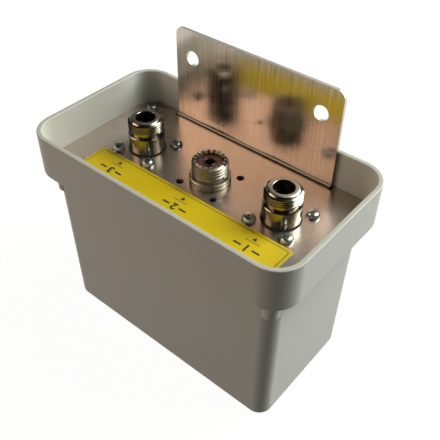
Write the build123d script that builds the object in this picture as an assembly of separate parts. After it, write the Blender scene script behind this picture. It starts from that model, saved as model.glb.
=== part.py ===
from build123d import *
import math
import os

# Mast-mount antenna amplifier, in millimetres. The case stands on its closed end, +Z up.
# The origin is the centre of the case's underside, +X is the long side with the aerial
# socket, and +Y is the side with the mounting flange.

# Case: moulded bucket with a wider collar round the open end
rim_length = 133.7
rim_width = 74.1
rim_corner_radius = 12.5
rim_rounding = 0.5
case_height = 99.1
case_wall = 2.1
floor_thickness = 2.5
floor_rounding = 1.5
collar_step_length = 6.45
collar_step_width = 5.8
body_length = rim_length - 2 * collar_step_length
body_width = rim_width - 2 * collar_step_width
body_corner_radius = 6.5
draft_length = 1.8
draft_width = 1.4
ledge_thickness = 1.5
collar_edge_rounding = 1.0
boss_inset_x = 3.4
boss_inset_y = 3.25
boss_spacing_x = body_length - 2 * boss_inset_x
boss_spacing_y = body_width - 2 * boss_inset_y
boss_radius = 3.6
boss_depth = 11.2
boss_rounding = 0.9
insert_radius = 2.2
insert_length = 6.0
pilot_radius = 1.75
pilot_floor = 2.5
pilot_depth = boss_depth + ledge_thickness - pilot_floor

# Panel: one sheet, its back edge bent up into the mounting flange
panel_depth = 17.1
panel_thickness = 1.5
panel_gap = 0.2
gasket_thickness = 0.4
gasket_margin = 0.4
flange_end_room = 23.85
flange_width = rim_length - 2 * flange_end_room
flange_height = 45.1
flange_offset = -0.8
flange_corner = 3.5
bend_radius = 2.0
relief_width = 1.0
flange_hole_radius = 3.45
flange_hole_side_inset = 9.4
flange_hole_top_inset = 12.6
flange_hole_spacing = flange_width - 2 * flange_hole_side_inset
flange_hole_height = flange_height - flange_hole_top_inset

# Label film
label_end_room = 14.4
label_front_room = 4.05
label_socket_room = 12.9
label_thickness = 0.2
label_corner = 1.0
label_offset_x = 0.15

# Screws and nuts
m3_radius = 1.5
m3_hole_radius = 1.6
m3_head_radius = 2.8
m3_head_height = 2.2
m3_nut_flats = 5.5
m3_nut_height = 2.4
m25_radius = 1.25
m25_hole_radius = 1.35
m25_head_radius = 2.2
m25_head_height = 1.6
recess_width = 0.6
recess_share = 0.62
recess_floor_share = 0.45
head_rounding_share = 0.4
nut_bore_gap = 0.05
panel_screw_length = 10.0
jack_screw_length = 8.0
board_screw_length = 3.0
regulator_screw_length = 8.8

# Row of sockets
socket_end_room = 29.9
socket_pitch = rim_length / 2 - socket_end_room
socket_offset_x = 0.45
socket_y = 4.2
fit_gap = 0.03
thread_radius = 7.8
thread_depth = 0.65
thread_pitch = 25.4 / 24
crest_start_share = 0.35
crest_end_share = 0.65

# Aerial and output sockets, heights above the panel
jack_height = 15.7
jack_nose_radius = 6.35
jack_nose_chamfer = 1.3
jack_thread_reach = 5.8
jack_groove_width = 1.4
jack_groove_radius = 6.7
jack_hub_radius = 8.1
jack_bore_radius = 4.4
jack_bore_depth = 4.6
jack_inner_radius = 4.0
jack_inner_depth = 10.7
jack_core_radius = 3.6
jack_flange_size = 25.4
jack_flange_thickness = 2.5
jack_flange_corner = 1.0
jack_screw_square = 18.26
jack_rear_radius = 5.0
jack_rear_length = 2.0
jack_seal_radius = 8.45
jack_seal_proud = 0.6
jack_hole_gap = 0.05
jack_contact_radius = 1.5
jack_contact_bore = 0.85
jack_contact_depth = 6.2
jack_contact_slot = 0.3
jack_tail_radius = 1.0
jack_tail_length = 16.0
insulator_proud = 0.5

# Supply socket, heights above the panel
power_height = 11.2
power_shank_radius = 7.5
power_thread_low = 3.8
power_nose_chamfer = 0.7
power_nose_radius = 7.1
power_bore_radius = 5.75
power_insulator_depth = 2.0
power_contact_radius = 2.6
power_contact_bore = 1.95
power_contact_bore_depth = 9.0
power_contact_proud = 0.4
power_notch_count = 18
power_notch_width = 1.4
power_notch_depth = 1.4
power_hex_flats = 19.0
power_hex_thickness = 3.0
power_rear_radius = 6.8
power_rear_length = 2.0
power_tail_radius = 1.2
power_tail_length = 2.5
ring_nut_radius = 8.9
ring_nut_height = 3.3
ring_nut_chamfer = 0.36
ring_nut_slots = 4
ring_nut_slot_width = 1.6
ring_nut_slot_depth = 0.7
ring_nut_slot_turn = 45
lug_thickness = 0.5
lug_radius = 11.0
lug_reach = 15.8
lug_width = 5.0
lug_hole_radius = 0.9
lug_hole_inset = lug_width / 3
spare_hole_radius = 1.75

# Circuit board, hung below the sockets
board_end_room = 8.4
board_floor_room = 9.5
board_thickness = 1.6
board_corner = 1.5
board_drop = 12.0
bracket_thickness = 1.2
bracket_width = 22.0
bracket_reach = 12.7
bracket_foot = 4.0
bracket_relief = 0.4
bracket_bend = 1.6
board_screw_pitch = 14.0
board_screw_inset = 8.0

# Screen of the amplifier stages, on the board's front
shield_left_room = 26.0
shield_right_room = 4.0
shield_bottom_room = 17.0
shield_top_room = 13.0
shield_depth = 11.0
shield_sheet = 0.5
shield_corner = 1.0
cover_skirt = 3.0
cover_gap = 0.1
tuning_hole_radius = 2.2

# Parts inside the screen
trimmer_count = 3
trimmer_base = 8.0
trimmer_base_height = 1.0
trimmer_radius = 3.7
trimmer_height = 4.6
rotor_radius = 2.4
rotor_height = 2.6
rotor_gap = 0.1
rotor_slot = 0.6
rotor_slot_depth = 0.8
inductor_size = 5.0
inductor_height = 4.2
inductor_chamfer = 0.6
chip_length = 6.0
chip_width = 5.0
chip_height = 1.7
gain_size = 7.0
gain_height = 4.6

# Supply parts below the screen
supply_row_height = 8.5
terminal_pitch = 5.08
terminal_length = 10.6
terminal_height = 10.0
terminal_depth = 10.0
terminal_entry_radius = 1.2
terminal_entry_depth = 6.0
terminal_screw_radius = 1.8
terminal_well_depth = 1.8
terminal_chamfer = 1.25
terminal_head_share = 0.7
terminal_slot_share = 0.35
fuse_length = 20.0
fuse_radius = 2.5
fuse_cap_length = 5.5
fuse_cap_thickness = 0.2
fuse_cap_gap = 0.01
clip_sheet = 0.4
clip_length = 4.5
clip_cheek_share = 1.6
electrolytic_count = 2
electrolytic_radius = 4.0
electrolytic_height = 8.5
electrolytic_rounding = 0.5
choke_radius = 4.6
choke_height = 7.0
choke_rounding = 0.92
sink_length = 22.0
sink_height = 14.0
sink_base = 1.5
sink_fin = 1.1
sink_fin_height = 8.5
regulator_width = 10.2
regulator_body_length = 9.2
regulator_body_height = 4.5
regulator_tab_length = 6.4
regulator_tab_thickness = 1.3
regulator_tab_hole_inset = 2.8
regulator_inset = 0.5
regulator_lead_pitch = 2.54
regulator_lead_width = 0.8
regulator_lead_thickness = 0.5
regulator_lead_height = 2.4
regulator_lead_reach = 2.2

# Parts beside the socket tails
arrester_radius = 2.6
arrester_length = 6.5
arrester_clear = 1.2
coupling_radius = 2.6
coupling_thickness = 2.4
coupling_offset = 5.5
tail_part_inset = 2.8
smd_length = 2.0
smd_width = 1.25
smd_height = 0.7
smd_pitch = 3.6
smd_side_count = 6
smd_side_room = 5.0
smd_side_drop = 10.0
smd_chip_count = 3
smd_chip_shift = 3.0
smd_chip_drop = 8.0
smd_tail_count = 4
smd_tail_room = 14.0
smd_tail_drop = 3.0

# Supply leads
lead_radius = 0.7
lead_seat = 1.0
lead_bulge = 9.2
lead_bend_share = 0.45

# Heights and planes that follow from the sizes above
panel_top = case_height - panel_depth
panel_bottom = panel_top - panel_thickness
ledge_top = panel_bottom - gasket_thickness
collar_underside = ledge_top - ledge_thickness
panel_length = rim_length - 2 * case_wall - 2 * panel_gap
panel_width = rim_width - 2 * case_wall - 2 * panel_gap
panel_corner = rim_corner_radius - case_wall - panel_gap
label_back_y = socket_y - label_socket_room
label_length = rim_length - 2 * label_end_room
label_width = panel_width / 2 + label_back_y - label_front_room
antenna_x = socket_offset_x + socket_pitch
output_x = socket_offset_x - socket_pitch
power_x = socket_offset_x
jack_hole_radius = jack_seal_radius + jack_hole_gap
jack_flange_back = panel_thickness + jack_flange_thickness
jack_thread_low = jack_height - jack_thread_reach
jack_hub_height = jack_thread_low - jack_groove_width
power_thread_high = power_height - power_nose_chamfer
board_front = socket_y + jack_tail_radius
board_back = board_front + board_thickness
board_top = panel_top - board_drop
board_bottom = floor_thickness + board_floor_room
board_length = body_length - 2 * board_end_room
shield_length = board_length - shield_left_room - shield_right_room
shield_height = board_top - board_bottom - shield_bottom_room - shield_top_room
shield_offset_x = (shield_left_room - shield_right_room) / 2
shield_z = board_bottom + shield_bottom_room + shield_height / 2
supply_z = board_bottom + supply_row_height

# Places inside the screen from its centre, in 74ths of its length and 28ths of its height
shield_grid_u = shield_length / 74
shield_grid_v = shield_height / 28
partition_u = -5 * shield_grid_u
trimmer_first_u = 4 * shield_grid_u
trimmer_pitch = 12 * shield_grid_u
trimmer_v = 5 * shield_grid_v
inductor_v = -7.5 * shield_grid_v
chip_u = -15 * shield_grid_u
chip_v = 3 * shield_grid_v
gain_u = -28 * shield_grid_u
gain_v = 2 * shield_grid_v

# Places in the supply row from the board's centre line, in 104ths of its length
board_grid = board_length / 104
terminal_u = -44 * board_grid
fuse_u = -22 * board_grid
electrolytic_u = -4.5 * board_grid
electrolytic_pitch = 9.2 * board_grid
choke_u = 16.4 * board_grid
sink_u = 39 * board_grid

panel_screws_at = [(side * boss_spacing_x / 2, -side * boss_spacing_y / 2) for side in (-1, 1)]


def upright(radius, low, high, x=0.0, y=0.0):
    """Cylinder with a vertical axis between two heights."""
    return Pos(x, y, (low + high) / 2) * Cylinder(radius, high - low)


def block(x_range, y_range, z_range):
    """Box between the given limits."""
    size = [high - low for low, high in (x_range, y_range, z_range)]
    centre = [(high + low) / 2 for low, high in (x_range, y_range, z_range)]
    return Pos(*centre) * Box(*size)


def plate(length, width, corner, low, high, x=0.0, y=0.0):
    """Plate with rounded corners between two heights."""
    return Pos(x, y, low) * extrude(RectangleRounded(length, width, corner), high - low)


def turned(profile, x=0.0, y=0.0, z=0.0):
    """Ring or rod turned about a vertical axis from (radius, height) points."""
    face = make_face(Polyline(*profile, close=True))
    return Pos(x, y, z) * revolve(Plane.XZ * face, Axis.Z)


def hexagon(flats, low, high, x=0.0, y=0.0):
    """Upright hexagonal prism, sized across its flats."""
    outline = RegularPolygon(flats / 2, 6, major_radius=False)
    return Pos(x, y, low) * extrude(outline, high - low)


def thread_outline(low, high):
    """Outline of the coupling thread from its lower to its upper end, as (radius, height)."""
    turns = int((high - low) / thread_pitch + 1e-6)
    points = []
    for turn in range(turns):
        foot = low + turn * thread_pitch
        points.append((thread_radius - thread_depth, foot))
        points.append((thread_radius, foot + crest_start_share * thread_pitch))
        points.append((thread_radius, foot + crest_end_share * thread_pitch))
    points.append((thread_radius - thread_depth, low + turns * thread_pitch))
    return points


def screw(radius, head_radius, head_height, length):
    """Pan-head screw with a cross recess, its head standing on height 0."""
    head = upright(head_radius, 0, head_height)
    head = fillet(head.edges().sort_by(Axis.Z)[-1], head_height * head_rounding_share)
    slot_length = 2 * head_radius * recess_share
    slot = block((-slot_length / 2, slot_length / 2), (-recess_width / 2, recess_width / 2),
                 (head_height * recess_floor_share, head_height + 1))
    return head + upright(radius, -length, 0) - slot - Rot(0, 0, 90) * slot


def nut(low, x, y):
    """Hexagonal nut of the panel screws' size, its lower face at the given height."""
    body = hexagon(m3_nut_flats, low, low + m3_nut_height, x, y)
    return body - upright(m3_radius + nut_bore_gap, low - 1, low + m3_nut_height + 1, x, y)


def on_board(u, z):
    """Place on the board's front face, local +Z pointing away from the board."""
    origin = (socket_offset_x + u, board_front, z)
    return Plane(origin=origin, x_dir=(1, 0, 0), z_dir=(0, -1, 0)).location


def in_shield(u, v):
    """Place on the board's front face, counted from the screen's centre."""
    return on_board(shield_offset_x + u, shield_z + v)


def corners(spacing_x, spacing_y):
    """The four corners of a rectangle about the origin."""
    return [(sx * spacing_x / 2, sy * spacing_y / 2) for sx in (-1, 1) for sy in (-1, 1)]


def save(node, *solids):
    """Write one piece, or one group of like pieces, to its own file."""
    shape = solids[0] if len(solids) == 1 else Compound(children=list(solids))
    export_step(shape, f"parts/{node}.step")


os.makedirs("parts", exist_ok=True)


def body_profile(height, inset):
    """Outline of the tapering body at a height, drawn in by a wall."""
    below = 1 - height / collar_underside
    length = body_length - draft_length * below - 2 * inset
    width = body_width - draft_width * below - 2 * inset
    return Pos(0, 0, height) * RectangleRounded(length, width, body_corner_radius - inset)


def make_case():
    collar = plate(rim_length, rim_width, rim_corner_radius, collar_underside, case_height)
    collar = fillet(collar.faces().sort_by(Axis.Z)[0].edges(), collar_edge_rounding)
    body = loft([body_profile(0, 0), body_profile(collar_underside, 0)])
    body = fillet(body.faces().sort_by(Axis.Z)[0].edges(), floor_rounding)
    pocket = plate(rim_length - 2 * case_wall, rim_width - 2 * case_wall,
                   rim_corner_radius - case_wall, ledge_top, case_height + 1)
    cavity = loft([body_profile(floor_thickness, case_wall), body_profile(ledge_top, case_wall)])
    shell = collar + body - pocket - cavity
    rim = shell.faces().sort_by(Axis.Z)[-1]
    shell = fillet(rim.edges(), rim_rounding)
    boss_low = collar_underside - boss_depth
    boss = upright(boss_radius, boss_low, ledge_top)
    boss = fillet(boss.edges().sort_by(Axis.Z)[0], boss_rounding)
    for x, y in corners(boss_spacing_x, boss_spacing_y):
        shell += Pos(x, y, 0) * boss
    for x, y in corners(boss_spacing_x, boss_spacing_y):
        shell -= upright(insert_radius, ledge_top - insert_length, ledge_top + 1, x, y)
        shell -= upright(pilot_radius, ledge_top - pilot_depth, ledge_top, x, y)
    return shell


def make_inserts():
    low = ledge_top - insert_length
    ring = upright(insert_radius - fit_gap, low, ledge_top)
    ring -= upright(m3_radius + nut_bore_gap, low - 1, ledge_top + 1)
    return [Pos(x, y, 0) * ring for x, y in panel_screws_at]


def make_gasket():
    frame = RectangleRounded(panel_length, panel_width, panel_corner)
    length = body_length - 2 * case_wall + 2 * gasket_margin
    width = body_width - 2 * case_wall + 2 * gasket_margin
    frame -= RectangleRounded(length, width, body_corner_radius - case_wall + gasket_margin)
    for x, y in corners(boss_spacing_x, boss_spacing_y):
        frame += Pos(x, y) * Circle(boss_radius - gasket_margin)
    for x, y in panel_screws_at:
        frame -= Pos(x, y) * Circle(m3_hole_radius)
    return Pos(0, 0, ledge_top) * extrude(frame, gasket_thickness)


def make_panel():
    sheet = plate(panel_length, panel_width, panel_corner, panel_bottom, panel_top)
    back = panel_width / 2
    bend_outer = bend_radius + panel_thickness
    half = flange_width / 2
    flange_top = panel_top + flange_height

    # The sheet ends where the bend starts, between two small relief cuts
    relief = half + relief_width
    sheet -= block((flange_offset - relief, flange_offset + relief), (back - bend_outer, back + 1),
                   (panel_bottom - 1, panel_top + 1))
    bend = Plane.YZ * make_face(
        Line((back - bend_outer, panel_bottom), (back - bend_outer, panel_top))
        + JernArc((back - bend_outer, panel_top), (1, 0), bend_radius, 90)
        + Line((back - panel_thickness, panel_top + bend_radius), (back, panel_top + bend_radius))
        + JernArc((back, panel_top + bend_radius), (0, -1), bend_outer, -90)
    )
    bend = Pos(flange_offset - half, 0, 0) * extrude(bend, flange_width, dir=(1, 0, 0))
    flange = block((flange_offset - half, flange_offset + half), (back - panel_thickness, back),
                   (panel_top + bend_radius, flange_top))
    top_corners = flange.edges().filter_by(Axis.Y).group_by(Axis.Z)[-1]
    flange = fillet(top_corners, flange_corner)
    for side in (-1, 1):
        x = flange_offset + side * flange_hole_spacing / 2
        z = panel_top + flange_hole_height
        flange -= Pos(x, back, z) * Rot(90, 0, 0) * Cylinder(flange_hole_radius, 4 * panel_thickness)
    panel = sheet + bend + flange

    low, high = panel_bottom - 1, panel_top + 1
    for x, y in panel_screws_at:
        panel -= upright(m3_hole_radius, low, high, x, y)
    for x in (antenna_x, output_x):
        panel -= upright(jack_hole_radius, low, high, x, socket_y)
    panel -= upright(thread_radius + jack_hole_gap, low, high, power_x, socket_y)
    for centre, radius in ((antenna_x, m3_hole_radius), (output_x, m3_hole_radius),
                           (power_x, spare_hole_radius)):
        for x, y in corners(jack_screw_square, jack_screw_square):
            panel -= upright(radius, low, high, centre + x, socket_y + y)
    return panel


def make_label():
    y = label_back_y - label_width / 2
    return plate(label_length, label_width, label_corner, panel_top, panel_top + label_thickness,
                 label_offset_x, y)


save("case_shell", make_case())
save("boss_inserts", *make_inserts())
save("panel_gasket", make_gasket())
save("panel_plate", make_panel())
save("label", make_label())
panel_screw = screw(m3_radius, m3_head_radius, m3_head_height, panel_screw_length)
save("panel_screws", *[Pos(x, y, panel_top) * panel_screw for x, y in panel_screws_at])


def make_jack_body():
    """Aerial or output socket with its axis at the origin and the panel's top at height 0."""
    rear = -jack_flange_back - jack_rear_length
    thread_high = jack_height - jack_nose_chamfer
    outline = [(jack_core_radius, rear), (jack_rear_radius, rear)]
    outline += [(jack_rear_radius, -jack_flange_back), (jack_hub_radius, -jack_flange_back)]
    outline += [(jack_hub_radius, jack_hub_height), (jack_groove_radius, jack_hub_height)]
    outline += [(jack_groove_radius, jack_thread_low)]
    outline += thread_outline(jack_thread_low, thread_high)
    outline += [(jack_nose_radius, jack_height), (jack_bore_radius, jack_height)]
    outline += [(jack_bore_radius, jack_height - jack_bore_depth)]
    outline += [(jack_inner_radius, jack_height - jack_bore_depth)]
    outline += [(jack_inner_radius, jack_height - jack_inner_depth)]
    outline += [(jack_core_radius, jack_height - jack_inner_depth)]
    flange = plate(jack_flange_size, jack_flange_size, jack_flange_corner, -jack_flange_back,
                   -panel_thickness)
    flange -= upright(jack_hub_radius - 1, -jack_flange_back - 1, 0)
    for x, y in corners(jack_screw_square, jack_screw_square):
        flange -= upright(m3_hole_radius, -jack_flange_back - 1, 0, x, y)
    return turned(outline) + flange


def make_jack_insulator():
    low = -jack_flange_back - jack_rear_length - insulator_proud
    high = jack_height - jack_inner_depth
    core = upright(jack_core_radius - fit_gap, low, high)
    return core - upright(jack_contact_radius + fit_gap, low - 1, high + 1)


def make_jack_contact():
    tip = jack_height - jack_contact_depth
    foot = -jack_flange_back - jack_rear_length - insulator_proud
    pin = upright(jack_contact_radius, foot, tip)
    pin += upright(jack_tail_radius, -panel_thickness - jack_tail_length, foot)
    pin -= upright(jack_contact_bore, tip - 4 * jack_contact_radius, tip + 1)
    slot = block((-2 * jack_contact_radius, 2 * jack_contact_radius),
                 (-jack_contact_slot / 2, jack_contact_slot / 2),
                 (tip - 3 * jack_contact_radius, tip + 1))
    return pin - slot - Rot(0, 0, 90) * slot


def make_jack_seal():
    ring = upright(jack_seal_radius, -panel_thickness, jack_seal_proud)
    return ring - upright(jack_hub_radius + fit_gap, -panel_thickness - 1, jack_seal_proud + 1)


def make_bracket():
    """Angle bracket under a socket flange; local y counts from the socket's axis."""
    front = board_back - socket_y
    top = -jack_flange_back
    under = top - bracket_thickness
    inner = front + bracket_thickness
    screw_height = board_top - board_screw_inset - panel_top
    foot = screw_height - bracket_foot
    outline = Polyline((front, top), (bracket_reach, top), (bracket_reach, under), (inner, under),
                       (inner, foot), (front, foot), close=True)
    profile = make_face(outline)
    outer_corner = profile.vertices().sort_by(lambda v: v.X - v.Y)[0]
    profile = fillet(outer_corner, bracket_bend)
    bar = extrude(Plane.YZ * profile, bracket_width / 2, both=True)
    relief = jack_rear_radius + bracket_relief
    low = top - jack_rear_length - insulator_proud - bracket_relief
    bar -= upright(relief, low, top + 1)
    for side in (-1, 1):
        bar -= upright(m3_hole_radius, under - 1, top + 1, side * jack_screw_square / 2,
                       jack_screw_square / 2)
        hole = Rot(90, 0, 0) * Cylinder(m25_radius + nut_bore_gap, 4 * bracket_thickness)
        bar -= Pos(side * board_screw_pitch / 2, front, screw_height) * hole
    return bar


jack_screw = screw(m3_radius, m3_head_radius, m3_head_height, jack_screw_length)
board_screw = screw(m25_radius, m25_head_radius, m25_head_height, board_screw_length + board_thickness)

for side, jack_x in (("antenna", antenna_x), ("output", output_x)):
    seat = Pos(jack_x, socket_y, panel_top)
    save(f"{side}_jack_body", seat * make_jack_body())
    save(f"{side}_jack_insulator", seat * make_jack_insulator())
    save(f"{side}_jack_contact", seat * make_jack_contact())
    save(f"{side}_jack_seal", seat * make_jack_seal())
    save(f"{side}_bracket", seat * make_bracket())
    holes = corners(jack_screw_square, jack_screw_square)
    save(f"{side}_jack_screws", *[seat * Pos(x, y, 0) * jack_screw for x, y in holes])
    nuts = []
    for x, y in holes:
        stack = jack_flange_back + (bracket_thickness if y > 0 else 0)
        nuts.append(seat * nut(-stack - m3_nut_height, x, y))
    save(f"{side}_jack_nuts", *nuts)

board_screws = []
for jack_x in (antenna_x, output_x):
    for side in (-1, 1):
        place = on_board(jack_x - socket_offset_x + side * board_screw_pitch / 2,
                         board_top - board_screw_inset)
        board_screws.append(place * board_screw)
save("board_screws", *board_screws)


def make_power_body():
    """Supply socket with its axis at the origin and the panel's top at height 0."""
    hex_top = -panel_thickness - lug_thickness
    hex_low = hex_top - power_hex_thickness
    rear = hex_low - power_rear_length
    outline = [(power_bore_radius, rear), (power_rear_radius, rear)]
    outline += [(power_rear_radius, hex_low), (power_shank_radius, hex_low)]
    outline += [(power_shank_radius, power_thread_low)]
    outline += thread_outline(power_thread_low, power_thread_high)
    outline += [(power_nose_radius, power_height), (power_bore_radius, power_height)]
    body = turned(outline)
    collar = hexagon(power_hex_flats, hex_low, hex_top)
    collar -= upright(power_shank_radius - 1, hex_low - 1, hex_top + 1)
    body += collar
    notch = block((power_bore_radius - 1, thread_radius), (-power_notch_width / 2, power_notch_width / 2),
                  (power_height - power_notch_depth, power_height + 1))
    for number in range(power_notch_count):
        body -= Rot(0, 0, 360 / power_notch_count * number) * notch
    return body


def make_power_insulator():
    low = -panel_thickness - lug_thickness - power_hex_thickness - power_rear_length - insulator_proud
    high = power_height - power_insulator_depth
    core = upright(power_bore_radius - fit_gap, low, high)
    return core - upright(power_contact_radius + fit_gap, low - 1, high + 1)


def make_power_contact():
    low = -panel_thickness - lug_thickness - power_hex_thickness - power_rear_length - insulator_proud
    tip = power_height - power_insulator_depth + power_contact_proud
    pin = upright(power_contact_radius, low, tip)
    pin += upright(power_tail_radius, low - power_tail_length, low)
    return pin - upright(power_contact_bore, tip - power_contact_bore_depth, tip + 1)


def make_ring_nut():
    ring = upright(ring_nut_radius, 0, ring_nut_height)
    ring = chamfer(ring.edges().group_by(Axis.Z)[-1], ring_nut_chamfer)
    ring -= upright(power_shank_radius + nut_bore_gap, -1, ring_nut_height + 1)
    slot = block((ring_nut_radius - ring_nut_slot_depth, ring_nut_radius + 1),
                 (-ring_nut_slot_width / 2, ring_nut_slot_width / 2), (-1, ring_nut_height + 1))
    for number in range(ring_nut_slots):
        ring -= Rot(0, 0, 360 / ring_nut_slots * number + ring_nut_slot_turn) * slot
    return ring


def make_ground_lug():
    low = -panel_thickness - lug_thickness
    ring = Circle(lug_radius) + Pos(-lug_reach / 2, 0) * Rectangle(lug_reach, lug_width)
    ring -= Circle(thread_radius + nut_bore_gap)
    ring -= Pos(-lug_reach + lug_hole_inset, 0) * Circle(lug_hole_radius)
    return Pos(0, 0, low) * extrude(ring, lug_thickness)


seat = Pos(power_x, socket_y, panel_top)
save("power_socket_body", seat * make_power_body())
save("power_socket_insulator", seat * make_power_insulator())
save("power_socket_contact", seat * make_power_contact())
save("power_socket_ring_nut", seat * make_ring_nut())
save("ground_lug", seat * make_ground_lug())


def make_board():
    board = block((socket_offset_x - board_length / 2, socket_offset_x + board_length / 2),
                  (board_front, board_back), (board_bottom, board_top))
    board = fillet(board.edges().filter_by(Axis.Y), board_corner)
    for jack_x in (antenna_x, output_x):
        for side in (-1, 1):
            hole = Rot(90, 0, 0) * Cylinder(m25_hole_radius, 4 * board_thickness)
            board -= Pos(jack_x + side * board_screw_pitch / 2, board_back,
                         board_top - board_screw_inset) * hole
    hole = Rot(90, 0, 0) * Cylinder(m3_hole_radius, 4 * board_thickness)
    return board - Pos(socket_offset_x + regulator_hole_u, board_back, supply_z) * hole


def make_shield_frame():
    outer = RectangleRounded(shield_length, shield_height, shield_corner)
    inner = RectangleRounded(shield_length - 2 * shield_sheet, shield_height - 2 * shield_sheet,
                             shield_corner - shield_sheet / 2)
    frame = extrude(outer - inner, shield_depth)
    wall = block((partition_u - shield_sheet / 2, partition_u + shield_sheet / 2),
                 (-shield_height / 2 + shield_sheet / 2, shield_height / 2 - shield_sheet / 2),
                 (0, shield_depth - shield_sheet))
    return frame + wall


def make_shield_cover():
    low = shield_depth - cover_skirt
    high = shield_depth + shield_sheet
    grown = cover_gap + shield_sheet
    cover = plate(shield_length + 2 * grown, shield_height + 2 * grown, shield_corner + grown, low, high)
    cover -= plate(shield_length + 2 * cover_gap, shield_height + 2 * cover_gap,
                   shield_corner + cover_gap, low - 1, shield_depth)
    for number in range(trimmer_count):
        cover -= upright(tuning_hole_radius, low, high + 1, trimmer_first_u + number * trimmer_pitch,
                         trimmer_v)
    return cover - upright(tuning_hole_radius, low, high + 1, gain_u, gain_v)


def make_rotor():
    """Turning part of a trimmer with a screwdriver slot; its seat is at height 0."""
    rotor = upright(rotor_radius, 0, rotor_height)
    return rotor - block((-2 * rotor_radius, 2 * rotor_radius), (-rotor_slot / 2, rotor_slot / 2),
                         (rotor_height - rotor_slot_depth, rotor_height + 1))


def make_stator():
    base = block((-trimmer_base / 2, trimmer_base / 2), (-trimmer_base / 2, trimmer_base / 2),
                 (0, trimmer_base_height))
    body = base + upright(trimmer_radius, 0, trimmer_height)
    seat = trimmer_height - rotor_height
    return body - upright(rotor_radius + rotor_gap, seat, trimmer_height + 1)


def make_gain_body():
    body = block((-gain_size / 2, gain_size / 2), (-gain_size / 2, gain_size / 2), (0, gain_height))
    seat = gain_height - rotor_height
    return body - upright(rotor_radius + rotor_gap, seat, gain_height + 1)


sink_right = sink_u + sink_length / 2
regulator_hole_u = sink_right - regulator_inset - regulator_tab_hole_inset

save("circuit_board", make_board())
save("shield_frame", in_shield(0, 0) * make_shield_frame())
save("shield_cover", in_shield(0, 0) * make_shield_cover())
trimmers = [in_shield(trimmer_first_u + number * trimmer_pitch, trimmer_v)
            for number in range(trimmer_count)]
save("trimmer_stators", *[place * make_stator() for place in trimmers])
for number, place in enumerate(trimmers):
    save(f"trimmer_rotor_{number + 1}", place * Pos(0, 0, trimmer_height - rotor_height) * make_rotor())
save("gain_trimmer_body", in_shield(gain_u, gain_v) * make_gain_body())
save("gain_trimmer_rotor",
     in_shield(gain_u, gain_v) * Pos(0, 0, gain_height - rotor_height) * make_rotor())

inductors = []
for number in range(trimmer_count):
    place = in_shield(trimmer_first_u + number * trimmer_pitch, inductor_v)
    half = inductor_size / 2
    body = block((-half, half), (-half, half), (0, inductor_height))
    inductors.append(place * chamfer(body.edges().filter_by(Axis.Z), inductor_chamfer))
save("filter_inductors", *inductors)

amplifier = block((-chip_length / 2, chip_length / 2), (-chip_width / 2, chip_width / 2), (0, chip_height))
save("amplifier_chip", in_shield(chip_u, chip_v) * amplifier)


def make_terminal_block():
    half_length, half_height = terminal_length / 2, terminal_height / 2
    body = block((-half_length, half_length), (-half_height, half_height), (0, terminal_depth))
    body = chamfer(body.edges().filter_by(Axis.X).group_by(Axis.Z)[-1], terminal_chamfer)
    for side in (-1, 1):
        u = side * terminal_pitch / 2
        entry = Rot(90, 0, 0) * Cylinder(terminal_entry_radius, 2 * terminal_entry_depth)
        body -= Pos(u, half_height, terminal_depth / 2) * entry
        body -= upright(terminal_screw_radius + fit_gap, terminal_depth - terminal_well_depth,
                        terminal_depth + 1, u, 0)
    return body


def make_terminal_screw():
    low = terminal_depth - terminal_well_depth
    head = upright(terminal_screw_radius, low, low + terminal_well_depth * terminal_head_share)
    return head - block((-2 * terminal_screw_radius, 2 * terminal_screw_radius),
                        (-rotor_slot / 2, rotor_slot / 2),
                        (low + terminal_well_depth * terminal_slot_share, terminal_depth))


def make_fuse_clip():
    """Spring clip: a foot and two cheeks that hold a fuse cap."""
    inner = fuse_radius + fuse_cap_thickness + fit_gap
    outer = inner + clip_sheet
    half = clip_length / 2
    foot = block((-half, half), (-outer, outer), (0, clip_sheet))
    high = clip_sheet + clip_cheek_share * inner
    for side in (-1, 1):
        ends = sorted((side * inner, side * outer))
        foot += block((-half, half), ends, (0, high))
    return foot


def make_regulator():
    """Regulator with its tab towards local +X, lying on height 0; the tab's end is at x 0."""
    half = regulator_width / 2
    tab_end = -regulator_tab_length
    body_end = tab_end - regulator_body_length
    tab = block((tab_end, 0), (-half, half), (0, regulator_tab_thickness))
    tab -= upright(m3_hole_radius, -1, regulator_tab_thickness + 1, -regulator_tab_hole_inset, 0)
    part = tab + block((body_end, tab_end), (-half, half), (0, regulator_body_height))
    lead_end = body_end - (sink_length - regulator_inset + body_end) - regulator_lead_reach
    low = regulator_lead_height - regulator_lead_thickness / 2
    high = regulator_lead_height + regulator_lead_thickness / 2
    for number in (-1, 0, 1):
        v = number * regulator_lead_pitch
        sides = (v - regulator_lead_width / 2, v + regulator_lead_width / 2)
        part += block((lead_end, body_end), sides, (low, high))
        part += block((lead_end, lead_end + regulator_lead_thickness), sides, (-sink_base, high))
    return part


def make_heat_sink():
    half_length, half_height = sink_length / 2, sink_height / 2
    sink = block((-half_length, half_length), (-half_height, half_height), (0, sink_base))
    for side in (-1, 1):
        ends = sorted((side * half_height, side * (half_height - sink_fin)))
        sink += block((-half_length, half_length), ends, (0, sink_fin_height))
    return sink - upright(m3_hole_radius, -1, sink_base + 1, regulator_hole_u - sink_u, 0)


save("terminal_block", on_board(terminal_u, supply_z) * make_terminal_block())
terminal_seats = [on_board(terminal_u + side * terminal_pitch / 2, supply_z) for side in (-1, 1)]
save("terminal_screws", *[place * make_terminal_screw() for place in terminal_seats])

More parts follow.
